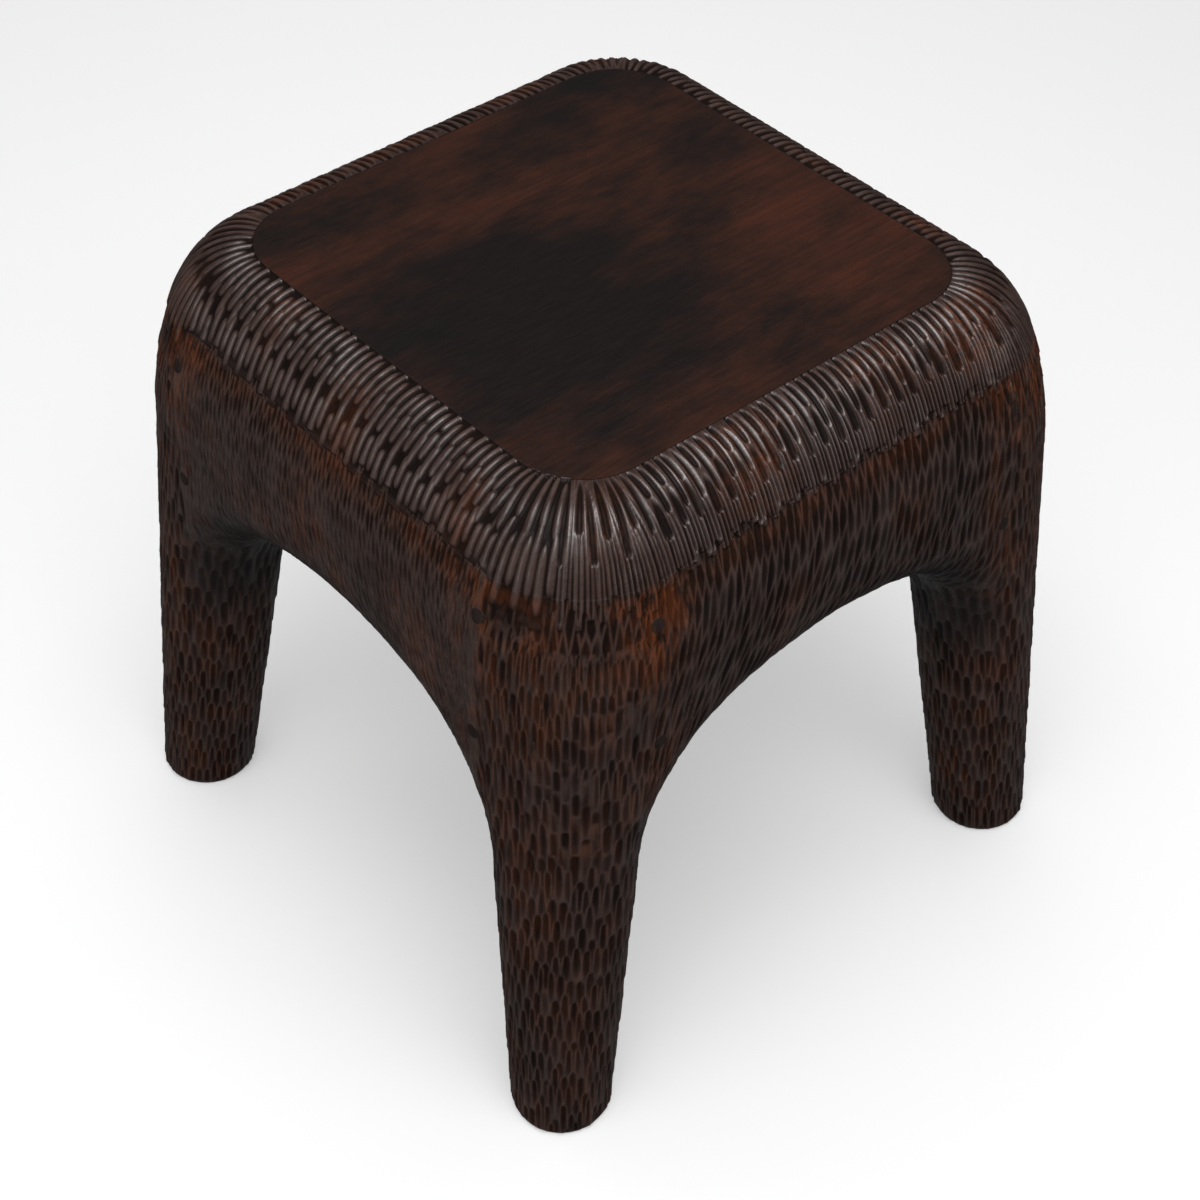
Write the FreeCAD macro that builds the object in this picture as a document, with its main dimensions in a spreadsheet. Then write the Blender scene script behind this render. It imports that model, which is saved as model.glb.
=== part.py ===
# A carved side table: a bullnosed top glued up from five boards, on four splayed legs that flow
# into four arched aprons. Each apron has a tenon at each end, pegged into its leg from outside.
# Millimetres. The origin is on the floor under the middle of the table, +Z is up and -Y is the front.
import FreeCAD, Part
import Sketcher
import math
import os

# Driving dimensions
SIZES = {
    "height": 508,              # floor to the smooth panel
    "foot_spread": 508,         # across the outsides of two feet
    "foot_width": 72,           # a foot at the floor
    "foot_corner": 35,          # plan radius of a foot's outer corner
    "foot_edge": 5,             # eased edge round the bottom of a foot
    "shoulder_width": 483,      # across the sides where the rolled edge ends
    "shoulder_height": 366,     # floor to that shoulder
    "shoulder_corner": 78,      # plan radius of the shoulder's corners
    "panel_side": 356,          # the smooth square panel on the top
    "panel_corner": 50,
    "roll_fullness": 2.24,      # power of the rolled edge's curve, 2 is a plain ellipse
    "top_thickness": 44,
    "gouge_radius": 3.2,        # of the gouge that carves the rolled edge
    "gouge_pitch": 6.6,         # from one stroke to the next round the table
    "upper_drop": 1.8,          # panel to the middle of the upper row of strokes
    "upper_depth": 1.7,
    "middle_drop": 12.2,        # the same for the middle and lower rows
    "middle_depth": 1.4,
    "lower_drop": 29.4,
    "lower_depth": 1,
    "stroke_length": 30,        # of the gouge's straight push, longer than the scoop that it leaves
    "board_width": 90,          # the three inner boards of the top
    "apron_thickness": 62,      # at the shoulder
    "joint_inset": 52,          # side of a foot at the floor to the apron's joint with the leg
    "apron_inner_round": 14,
    "arch_height": 328,         # floor to the crown of the arch
    "crown_radius": 264,
    "haunch_radius": 101,
    "leg_lean": 7.9,            # degrees that a leg's inner side leans
    "edge_round": 33,           # arrises of the arches and of the legs' inner corners
    "tenon_gap": 11.5,          # end of a tenon to the near cheek of the one that crosses it
    "tenon_thickness": 18,
    "tenon_height": 138,
    "tenon_drop": 8,            # wood left over the tenon
    "tenon_setback": 20,        # inner face of the apron to the tenon's cheek
    "joint_clearance": 0.1,     # glue gap on each cheek and round each pin
    "end_clearance": 1,         # room past the end of a tenon or a pin
    "peg_diameter": 10,
    "peg_drop": 26,             # underside of the top to the upper peg
    "peg_pitch": 96,            # upper peg to lower peg
    "peg_reach": 10,            # wood that a peg holds past the tenon
    "dowel_diameter": 12,
    "dowel_length": 52,
    "leg_dowel_setback": 30,    # tenon shoulder to the middle of a leg's dowel, both ways
    "apron_dowel_place": 70,    # apron's middle to one of its two dowels
    "apron_dowel_setback": 15,  # inner face of the apron to the middle of a dowel
    "board_dowel_diameter": 10,
    "board_dowel_length": 50,
    "board_dowel_pitch": 120,
}

doc = FreeCAD.newDocument("carved_side_table")
sheet = doc.addObject("Spreadsheet::Sheet", "Sizes")
for row, (alias, value) in enumerate(SIZES.items(), start=1):
    sheet.set(f"A{row}", alias)
    sheet.set(f"B{row}", str(value))
    sheet.setAlias(f"B{row}", alias)
doc.recompute()


def size(alias):
    return f"Sizes.{alias}"


# Places worked out from the sizes, as expressions
SEAM = "(Sizes.height - Sizes.top_thickness)"
FOOT_GAP = "(Sizes.foot_spread / 2 - Sizes.foot_width)"
JOINT = f"({FOOT_GAP} - Sizes.joint_inset)"
APRON_INSIDE = "(Sizes.shoulder_width / 2 - Sizes.apron_thickness)"
TENON_INSIDE = f"({APRON_INSIDE} + Sizes.tenon_setback)"
APRON_DOWEL = f"({APRON_INSIDE} + Sizes.apron_dowel_setback)"
TENON_BOTTOM = f"({SEAM} - Sizes.tenon_drop - Sizes.tenon_height)"
TENON_LENGTH = f"({TENON_INSIDE} - Sizes.tenon_gap - {JOINT})"
PEG_PLACE = f"({JOINT} + {TENON_LENGTH} / 2)"
PEG_UPPER = f"({SEAM} - Sizes.peg_drop)"
PEG_LOWER = f"({PEG_UPPER} - Sizes.peg_pitch)"
PEG_BOTTOM = f"({TENON_INSIDE} - Sizes.peg_reach)"
PEG_BORE = "(Sizes.peg_diameter / 2 + Sizes.joint_clearance)"
LEG_DOWEL = f"({JOINT} + Sizes.leg_dowel_setback)"
DOWEL_BORE = "(Sizes.dowel_diameter / 2 + Sizes.joint_clearance)"
DOWEL_BOTTOM = f"({SEAM} - Sizes.dowel_length / 2)"
FOOT_CORNER = "min(Sizes.foot_corner; Sizes.foot_width / 2)"

# The flat of a leg's outer wall, between its arris and its corner, where the leaning side ends and the
# haunch begins. An arris is no rounder than that flat.
CROWN_MIDDLE = "(Sizes.arch_height - Sizes.crown_radius)"
HAUNCH_REACH = "(Sizes.crown_radius - Sizes.haunch_radius)"
HAUNCH_TURN = (f"(asin(({FOOT_GAP} * cos(Sizes.leg_lean) - Sizes.haunch_radius"
               f" - {CROWN_MIDDLE} * sin(Sizes.leg_lean)) / {HAUNCH_REACH}) - Sizes.leg_lean * 1 deg)")
LEAN_TOP = (f"({CROWN_MIDDLE} + {HAUNCH_REACH} * cos({HAUNCH_TURN})"
            f" + Sizes.haunch_radius * sin(Sizes.leg_lean))")
WALL_TAPER = (f"(tan(Sizes.leg_lean) - ((Sizes.foot_spread - Sizes.shoulder_width) / 2"
              f" + Sizes.shoulder_corner - {FOOT_CORNER}) / Sizes.shoulder_height)")
LEG_FLAT = f"(Sizes.foot_width - {FOOT_CORNER} + {WALL_TAPER} * {LEAN_TOP})"
EDGE_ROUND = f"min(Sizes.edge_round; Sizes.foot_width - Sizes.foot_corner - 1; Sizes.foot_width / 2 - 1; {LEG_FLAT})"

# Heights of the curved sections: shares of the way from shoulder to seam, and from seam to panel
SHOULDER_SHARES = (0, 0.5, 1)
ROLL_SHARES = (0, 0.3, 0.58, 0.8, 0.93, 0.985, 1)


# The rolled edge: a quarter of a fuller ellipse from the shoulder to the panel
def roll_rise(z):
    return f"((({z}) - Sizes.shoulder_height) / (Sizes.height - Sizes.shoulder_height))"


def roll_run(z):
    return f"((abs(1 - {roll_rise(z)} ^ Sizes.roll_fullness)) ^ (1 / Sizes.roll_fullness))"


def roll_half(z):
    return f"((Sizes.panel_side + (Sizes.shoulder_width - Sizes.panel_side) * {roll_run(z)}) / 2)"


def roll_corner(z):
    return f"(Sizes.panel_corner + (Sizes.shoulder_corner - Sizes.panel_corner) * {roll_run(z)})"


def roll_lean(z):
    # How far its surface leans from upright, from the slope of the curve
    slope = "(Sizes.shoulder_width - Sizes.panel_side) / 2 / (Sizes.height - Sizes.shoulder_height)"
    return f"atan({slope} * ({roll_rise(z)} / {roll_run(z)}) ^ (Sizes.roll_fullness - 1))"


def splay_sections():
    # Height, half width and corner radius at the floor and at the shoulder, with straight sides between
    return [("0", "Sizes.foot_spread / 2", FOOT_CORNER),
            ("Sizes.shoulder_height", "Sizes.shoulder_width / 2", "Sizes.shoulder_corner")]


def shoulder_sections():
    # The same from the shoulder to the underside of the top, along the rolled edge
    rows = []
    for share in SHOULDER_SHARES:
        z = f"(Sizes.shoulder_height + ({SEAM} - Sizes.shoulder_height) * {share})"
        rows.append((z, roll_half(z), roll_corner(z)))
    return rows


def roll_sections():
    # The same for the rolled edge of the top, from its underside to the panel
    rows = []
    for share in ROLL_SHARES:
        z = f"({SEAM} + Sizes.top_thickness * {share})"
        rows.append((z, roll_half(z), roll_corner(z)))
    return rows


# Sketch helpers
def origin(body, role):
    return next(feature for feature in body.Origin.OriginFeatures if feature.Role == role)


def add_sketch(body, name, role, offset="0"):
    sketch = body.newObject("Sketcher::SketchObject", name)
    sketch.AttachmentSupport = [(origin(body, role), "")]
    sketch.MapMode = "FlatFace"
    sketch.setExpression("AttachmentOffset.Base.z", offset)
    return sketch


def drive(sketch, name, constraint, expression):
    index = sketch.addConstraint(constraint)
    sketch.renameConstraint(index, name)
    sketch.setExpression(f"Constraints.{name}", expression)


def value_of(expression):
    return float(sheet.evalExpression(expression))


def vector(x, y):
    return FreeCAD.Vector(x, y, 0)


def draw_loop(sketch, points):
    # A closed loop of straight lines, level or upright wherever the points say so
    first = sketch.GeometryCount
    count = len(points)
    for here, there in zip(points, points[1:] + points[:1]):
        sketch.addGeometry(Part.LineSegment(vector(*here), vector(*there)), False)
    for i in range(count):
        sketch.addConstraint(Sketcher.Constraint("Coincident", first + i, 2, first + (i + 1) % count, 1))
        here, there = points[i], points[(i + 1) % count]
        level = abs(here[1] - there[1]) < abs(here[0] - there[0])
        sketch.addConstraint(Sketcher.Constraint("Horizontal" if level else "Vertical", first + i))
    return first


def draw_box(sketch, name, left, right, bottom, top):
    # A rectangle given by how far right, and how far up, its sides lie from the middle
    corners = [value_of(side) for side in (left, right, bottom, top)]
    x0, x1, y0, y1 = corners
    first = draw_loop(sketch, [(x0, y0), (x1, y0), (x1, y1), (x0, y1)])
    drive(sketch, name + "_left", Sketcher.Constraint("DistanceX", -1, 1, first, 1, x0), left)
    drive(sketch, name + "_right", Sketcher.Constraint("DistanceX", -1, 1, first, 2, x1), right)
    drive(sketch, name + "_bottom", Sketcher.Constraint("DistanceY", -1, 1, first, 1, y0), bottom)
    drive(sketch, name + "_top", Sketcher.Constraint("DistanceY", -1, 1, first + 2, 1, y1), top)


def draw_circle(sketch, name, x, y, radius):
    centre = vector(value_of(x), value_of(y))
    circle = sketch.addGeometry(Part.Circle(centre, FreeCAD.Vector(0, 0, 1), value_of(radius)), False)
    drive(sketch, name + "_x", Sketcher.Constraint("DistanceX", -1, 1, circle, 3, centre.x), x)
    drive(sketch, name + "_y", Sketcher.Constraint("DistanceY", -1, 1, circle, 3, centre.y), y)
    drive(sketch, name + "_radius", Sketcher.Constraint("Radius", circle, value_of(radius)), radius)


def draw_corner_block(sketch, inside, outside, corner):
    # A square from inside to outside, both ways, with its far corner rounded
    near, far, radius = value_of(inside), value_of(outside), value_of(corner)
    bend = far - radius
    lines = [((near, near), (far, near)), ((far, near), (far, bend)),
             ((bend, far), (near, far)), ((near, far), (near, near))]
    for here, there in lines:
        sketch.addGeometry(Part.LineSegment(vector(*here), vector(*there)), False)
    ring = Part.Circle(vector(bend, bend), FreeCAD.Vector(0, 0, 1), radius)
    arc = sketch.addGeometry(Part.ArcOfCircle(ring, 0, math.pi / 2), False)
    bottom, right, top, left = range(4)
    sketch.addConstraint(Sketcher.Constraint("Coincident", bottom, 2, right, 1))
    sketch.addConstraint(Sketcher.Constraint("Tangent", right, 2, arc, 1))
    sketch.addConstraint(Sketcher.Constraint("Tangent", arc, 2, top, 1))
    sketch.addConstraint(Sketcher.Constraint("Coincident", top, 2, left, 1))
    sketch.addConstraint(Sketcher.Constraint("Coincident", left, 2, bottom, 1))
    for line in (bottom, top):
        sketch.addConstraint(Sketcher.Constraint("Horizontal", line))
    for line in (right, left):
        sketch.addConstraint(Sketcher.Constraint("Vertical", line))
    drive(sketch, "inside_x", Sketcher.Constraint("DistanceX", -1, 1, bottom, 1, near), inside)
    drive(sketch, "inside_y", Sketcher.Constraint("DistanceY", -1, 1, bottom, 1, near), inside)
    drive(sketch, "outside_x", Sketcher.Constraint("DistanceX", -1, 1, right, 1, far), outside)
    drive(sketch, "outside_y", Sketcher.Constraint("DistanceY", -1, 1, top, 1, far), outside)
    drive(sketch, "corner", Sketcher.Constraint("Radius", arc, radius), corner)


def draw_rounded_square(sketch, half, corner):
    # A square about the middle with its four corners rounded
    far, radius = value_of(half), value_of(corner)
    bend = far - radius
    turns = [(1, 1), (-1, 1), (-1, -1), (1, -1)]
    for quarter, (sx, sy) in enumerate(turns):
        ring = Part.Circle(vector(sx * bend, sy * bend), FreeCAD.Vector(0, 0, 1), radius)
        sketch.addGeometry(Part.ArcOfCircle(ring, quarter * math.pi / 2, (quarter + 1) * math.pi / 2), False)
    for quarter in range(4):
        here = sketch.Geometry[quarter].EndPoint
        there = sketch.Geometry[(quarter + 1) % 4].StartPoint
        line = sketch.addGeometry(Part.LineSegment(here, there), False)
        sketch.addConstraint(Sketcher.Constraint("Tangent", quarter, 2, line, 1))
        sketch.addConstraint(Sketcher.Constraint("Tangent", line, 2, (quarter + 1) % 4, 1))
        sketch.addConstraint(Sketcher.Constraint("Vertical" if quarter % 2 else "Horizontal", line))
    for quarter in range(1, 4):
        sketch.addConstraint(Sketcher.Constraint("Equal", 0, quarter))
    back, left, front, right = range(4, 8)
    drive(sketch, "back", Sketcher.Constraint("DistanceY", -1, 1, back, 1, far), half)
    drive(sketch, "right", Sketcher.Constraint("DistanceX", -1, 1, right, 1, far), half)
    drive(sketch, "front", Sketcher.Constraint("DistanceY", front, 1, -1, 1, far), half)
    drive(sketch, "left", Sketcher.Constraint("DistanceX", left, 1, -1, 1, far), half)
    drive(sketch, "corner", Sketcher.Constraint("Radius", 0, radius), corner)


def draw_arch(sketch):
    # The opening under an apron: a crown arc, two haunch arcs and two leaning straight sides, all tangent
    crown, haunch = value_of(size("crown_radius")), value_of(size("haunch_radius"))
    gap, lean = value_of(FOOT_GAP), math.radians(value_of(size("leg_lean")))
    centre = value_of("Sizes.arch_height - Sizes.crown_radius")
    reach = (gap * math.cos(lean) - haunch - centre * math.sin(lean)) / (crown - haunch)
    turn = math.asin(reach) - lean
    haunch_x = (crown - haunch) * math.sin(turn)
    haunch_z = centre + (crown - haunch) * math.cos(turn)
    side = vector(haunch_x + haunch * math.cos(lean), haunch_z + haunch * math.sin(lean))
    up = FreeCAD.Vector(0, 0, 1)
    top_ring = Part.Circle(vector(0, centre), up, crown)
    right_ring = Part.Circle(vector(haunch_x, haunch_z), up, haunch)
    left_ring = Part.Circle(vector(-haunch_x, haunch_z), up, haunch)
    quarter = math.pi / 2
    top = sketch.addGeometry(Part.ArcOfCircle(top_ring, quarter - turn, quarter + turn), False)
    right = sketch.addGeometry(Part.ArcOfCircle(right_ring, lean, quarter - turn), False)
    left = sketch.addGeometry(Part.ArcOfCircle(left_ring, quarter + turn, math.pi - lean), False)
    right_side = sketch.addGeometry(Part.LineSegment(vector(gap, 0), side), False)
    left_side = sketch.addGeometry(Part.LineSegment(vector(-gap, 0), vector(-side.x, side.y)), False)
    floor = sketch.addGeometry(Part.LineSegment(vector(-gap, 0), vector(gap, 0)), False)
    sketch.addConstraint(Sketcher.Constraint("Tangent", right, 2, top, 1))
    sketch.addConstraint(Sketcher.Constraint("Tangent", top, 2, left, 1))
    sketch.addConstraint(Sketcher.Constraint("Tangent", right_side, 2, right, 1))
    sketch.addConstraint(Sketcher.Constraint("Tangent", left_side, 2, left, 2))
    sketch.addConstraint(Sketcher.Constraint("Coincident", floor, 1, left_side, 1))
    sketch.addConstraint(Sketcher.Constraint("Coincident", floor, 2, right_side, 1))
    sketch.addConstraint(Sketcher.Constraint("PointOnObject", floor, 1, -1))
    sketch.addConstraint(Sketcher.Constraint("PointOnObject", floor, 2, -1))
    sketch.addConstraint(Sketcher.Constraint("PointOnObject", top, 3, -2))
    sketch.addConstraint(Sketcher.Constraint("Equal", left, right))
    drive(sketch, "left_gap", Sketcher.Constraint("DistanceX", floor, 1, -1, 1, gap), FOOT_GAP)
    drive(sketch, "right_gap", Sketcher.Constraint("DistanceX", -1, 1, floor, 2, gap), FOOT_GAP)
    drive(sketch, "crown_radius", Sketcher.Constraint("Radius", top, crown), size("crown_radius"))
    drive(sketch, "haunch_radius", Sketcher.Constraint("Radius", right, haunch), size("haunch_radius"))
    middle = "Sizes.arch_height - Sizes.crown_radius"
    drive(sketch, "crown_middle", Sketcher.Constraint("DistanceY", -1, 1, top, 3, centre), middle)
    lean_turn = Sketcher.Constraint("Angle", -1, 1, right_side, 1, quarter + lean)
    drive(sketch, "right_lean", lean_turn, "(90 + Sizes.leg_lean) * 1 deg")
    return sketch


# Feature helpers
def loft(body, name, sections, draw, straight=False):
    sketches = []
    for number, (z, half, corner) in enumerate(sections, start=1):
        sketch = add_sketch(body, f"{name}_section_{number}", "XY_Plane", z)
        draw(sketch, half, corner)
        sketches.append(sketch)
    feature = body.newObject("PartDesign::AdditiveLoft", name)
    feature.Profile = (sketches[0], [""])
    feature.Sections = [(sketch, [""]) for sketch in sketches[1:]]
    feature.Ruled = straight
    doc.recompute()
    return feature


def pocket(body, name, sketch, reversed_way, depth=None):
    # Through the rest of the piece, or to a depth. A cut that takes nothing away is an error.
    before = body.Shape.Volume
    feature = body.newObject("PartDesign::Pocket", name)
    feature.Profile = (sketch, [""])
    feature.Reversed = reversed_way
    if depth is None:
        feature.Type = "ThroughAll"
    else:
        feature.setExpression("Length", depth)
    doc.recompute()
    if body.Shape.Volume > before - 1:
        raise RuntimeError(f"{name} cuts nothing")
    return feature


def face_way(shape, edge):
    # The outward directions of the two faces that meet at the middle of an edge
    middle = edge.valueAt((edge.FirstParameter + edge.LastParameter) / 2)
    ways = []
    for face in shape.ancestorsOfType(edge, Part.Face):
        u, v = face.Surface.parameter(middle)
        ways.append(face.normalAt(u, v))
    return ways


def round_edges(body, name, test, radius, ceiling=math.inf):
    # Rounds the edges under the ceiling whose two faces pass the test
    shape = body.Tip.Shape
    chosen = []
    for number, edge in enumerate(shape.Edges, start=1):
        ways = face_way(shape, edge)
        under = edge.BoundBox.ZMax < ceiling
        if under and len(ways) == 2 and (test(*ways) or test(*reversed(ways))):
            chosen.append(f"Edge{number}")
    if not chosen:
        raise RuntimeError(f"{name} finds no edge")
    base = body.Tip
    feature = body.newObject("PartDesign::Fillet", name)
    feature.Base = (base, chosen)
    feature.setExpression("Radius", radius)
    doc.recompute()
    return feature


def under_along_y(way):
    # An arch's underside, seen along Y
    return abs(way.y) < 0.02 and way.x < -0.05 and way.z < -0.05


def under_along_x(way):
    return abs(way.x) < 0.02 and way.y < -0.05 and way.z < -0.05


def is_arch(way):
    return abs(way.y) < 0.02 and way.z < -0.05


def leg_forms(body, name):
    # The splayed leg and the start of the rolled edge over it
    def draw(sketch, half, corner):
        draw_corner_block(sketch, JOINT, half, corner)

    loft(body, f"{name}_splay", splay_sections(), draw, True)
    loft(body, f"{name}_shoulder", shoulder_sections(), draw)


# The leg at the back right. The other three are its mirror images.
def make_leg():
    body = doc.addObject("PartDesign::Body", "leg_back_right")
    leg_forms(body, "leg")
    pocket(body, "leg_arch_along_y", draw_arch(add_sketch(body, "arch_seen_along_y", "XZ_Plane")), False)
    pocket(body, "leg_arch_along_x", draw_arch(add_sketch(body, "arch_seen_along_x", "YZ_Plane")), True)
    round_edges(body, "leg_edges",
                lambda one, two: (under_along_y(one) and (two.y > 0.9 or under_along_x(two)))
                or (under_along_x(one) and two.x > 0.9), EDGE_ROUND)
    round_edges(body, "foot_edge", lambda one, two: one.z < -0.99 and abs(two.z) < 0.3, size("foot_edge"),
                value_of(size("foot_edge")))
    gap, room = size("joint_clearance"), size("end_clearance")
    low, high = f"{TENON_BOTTOM} - {gap}", f"{TENON_BOTTOM} + Sizes.tenon_height + {gap}"
    inner, outer = f"{TENON_INSIDE} - {gap}", f"{TENON_INSIDE} + Sizes.tenon_thickness + {gap}"
    depth = f"{TENON_LENGTH} + {room}"
    for name, role, flip in (("side", "YZ_Plane", True), ("back", "XZ_Plane", False)):
        sign = "" if flip else "-"
        mortise = add_sketch(body, f"mortise_{name}_outline", role, f"{sign}{JOINT}")
        draw_box(mortise, "mortise", inner, outer, low, high)
        pocket(body, f"mortise_{name}", mortise, flip, depth)
    for name, role, flip in (("back", "XZ_Plane", False), ("side", "YZ_Plane", True)):
        sign = "" if flip else "-"
        holes = add_sketch(body, f"peg_holes_{name}_outline", role, f"{sign}({PEG_BOTTOM} - {room})")
        draw_circle(holes, "upper", PEG_PLACE, PEG_UPPER, PEG_BORE)
        draw_circle(holes, "lower", PEG_PLACE, PEG_LOWER, PEG_BORE)
        pocket(body, f"peg_holes_{name}", holes, flip)
    dowel = add_sketch(body, "leg_dowel_hole_outline", "XY_Plane", f"{DOWEL_BOTTOM} - {room}")
    draw_circle(dowel, "dowel", LEG_DOWEL, LEG_DOWEL, DOWEL_BORE)
    pocket(body, "leg_dowel_hole", dowel, True)
    return body


# The apron at the back. The other three are its mirror images.
def make_apron():
    body = doc.addObject("PartDesign::Body", "apron_back")
    def draw(sketch, half, corner):
        draw_box(sketch, "plank", f"-{JOINT}", JOINT, APRON_INSIDE, half)

    loft(body, "apron_splay", splay_sections(), draw, True)
    loft(body, "apron_shoulder", shoulder_sections(), draw)
    pocket(body, "apron_arch", draw_arch(add_sketch(body, "arch_outline", "XZ_Plane")), False)
    round_edges(body, "arch_outer_edge", lambda one, two: is_arch(one) and two.y > 0.9, EDGE_ROUND)
    round_edges(body, "arch_inner_edge", lambda one, two: is_arch(one) and two.y < -0.9, size("apron_inner_round"))
    for name, shoulder, flip in (("right", JOINT, False), ("left", f"-{JOINT}", True)):
        outline = add_sketch(body, f"tenon_{name}_outline", "YZ_Plane", shoulder)
        draw_box(outline, "tenon", TENON_INSIDE, f"{TENON_INSIDE} + Sizes.tenon_thickness",
                 TENON_BOTTOM, f"{TENON_BOTTOM} + Sizes.tenon_height")
        tenon = body.newObject("PartDesign::Pad", f"tenon_{name}")
        tenon.Profile = (outline, [""])
        tenon.Reversed = flip
        tenon.setExpression("Length", TENON_LENGTH)
        doc.recompute()
    holes = add_sketch(body, "tenon_peg_holes_outline", "XZ_Plane")
    for name, place in (("right", PEG_PLACE), ("left", f"-{PEG_PLACE}")):
        draw_circle(holes, f"{name}_upper", place, PEG_UPPER, PEG_BORE)
        draw_circle(holes, f"{name}_lower", place, PEG_LOWER, PEG_BORE)
    pocket(body, "tenon_peg_holes", holes, False)
    dowels = add_sketch(body, "apron_dowel_holes_outline", "XY_Plane", f"{DOWEL_BOTTOM} - Sizes.end_clearance")
    for name, place in (("right", size("apron_dowel_place")), ("left", f"-{size('apron_dowel_place')}")):
        draw_circle(dowels, name, place, APRON_DOWEL, DOWEL_BORE)
    pocket(body, "apron_dowel_holes", dowels, True)
    return body


def cylinder(name, radius, length, place, along=None):
    # A round pin from its start, upright unless it points along a given axis
    pin = doc.addObject("Part::Cylinder", name)
    pin.setExpression("Radius", radius)
    pin.setExpression("Height", length)
    if along == "Y":
        pin.Placement.Rotation = FreeCAD.Rotation(FreeCAD.Vector(1, 0, 0), -90)
    for axis, expression in zip("xyz", place):
        pin.setExpression(f"Placement.Base.{axis}", expression)
    return pin


def mirrored(name, source, normal):
    image = doc.addObject("Part::Mirroring", name)
    image.Source = source
    image.Normal = FreeCAD.Vector(*normal)
    return image


def group(name, members):
    compound = doc.addObject("Part::Compound", name)
    compound.Links = members
    return compound


ACROSS_X, ACROSS_Y, ACROSS_DIAGONAL = (1, 0, 0), (0, 1, 0), (1, -1, 0)


# Four pegs in the leg at the back right, trimmed to the leg's outer surface
def make_pegs():
    form = doc.addObject("PartDesign::Body", "leg_outer_form")
    leg_forms(form, "outer_form")
    pegs = []
    for name, height in (("upper", PEG_UPPER), ("lower", PEG_LOWER)):
        rod = cylinder(f"peg_rod_{name}", "Sizes.peg_diameter / 2", "Sizes.foot_spread / 2",
                       (PEG_PLACE, PEG_BOTTOM, height), "Y")
        peg = doc.addObject("Part::Common", f"peg_{name}")
        peg.Base = rod
        peg.Tool = form
        pegs.append(peg)
        pegs.append(mirrored(f"peg_side_{name}", peg, ACROSS_DIAGONAL))
    return group("tenon_pegs_back_right", pegs)


# The places of the dowels under the top, and of those between its boards
def top_dowel_places():
    leg, apron = LEG_DOWEL, size("apron_dowel_place")
    places = []
    for sx in ("", "-"):
        for sy in ("", "-"):
            places.append((f"{sx}{leg}", f"{sy}{leg}"))
            places.append((f"{sx}{apron}", f"{sy}{APRON_DOWEL}"))
            places.append((f"{sx}{APRON_DOWEL}", f"{sy}{apron}"))
    return places


BOARD_JOINTS = ("-1.5 * Sizes.board_width", "-0.5 * Sizes.board_width",
                "0.5 * Sizes.board_width", "1.5 * Sizes.board_width")


def board_dowel_places():
    rows = ("-Sizes.board_dowel_pitch", "0", "Sizes.board_dowel_pitch")
    return [(x, y) for y in BOARD_JOINTS for x in rows]


def make_top_pins(name, radius, spare):
    # Upright pins across the seam, longer at both ends by the spare length
    start = f"{DOWEL_BOTTOM} - {spare}"
    length = f"Sizes.dowel_length + 2 * {spare}"
    return [cylinder(f"{name}_{number}", radius, length, (x, y, start))
            for number, (x, y) in enumerate(top_dowel_places(), start=1)]


def make_board_pins(name, radius, spare):
    # Level pins across the joints of the boards, at half the thickness of the top
    middle = f"{SEAM} + Sizes.top_thickness / 2"
    length = f"Sizes.board_dowel_length + 2 * {spare}"
    return [cylinder(f"{name}_{number}", radius, length, (x, f"{y} - ({length}) / 2", middle), "Y")
            for number, (x, y) in enumerate(board_dowel_places(), start=1)]


def gouge_stroke(body, name, role, bend, out, z, tilt):
    # One straight push of the gouge, level along the side at its corner and tilted along the rolled edge
    outline = add_sketch(body, f"{name}_outline", role, out)
    outline.setExpression("AttachmentOffset.Base.x", bend)
    outline.setExpression("AttachmentOffset.Base.y", z)
    outline.AttachmentOffset.Rotation = FreeCAD.Rotation(FreeCAD.Vector(1, 0, 0), 1)
    outline.setExpression("AttachmentOffset.Rotation.Angle", tilt)
    draw_circle(outline, "gouge", "0", "0", size("gouge_radius"))
    stroke = body.newObject("PartDesign::Pocket", name)
    stroke.Profile = (outline, [""])
    stroke.Midplane = True
    stroke.setExpression("Length", size("stroke_length"))
    stroke.Refine = False
    doc.recompute()
    return stroke


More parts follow.
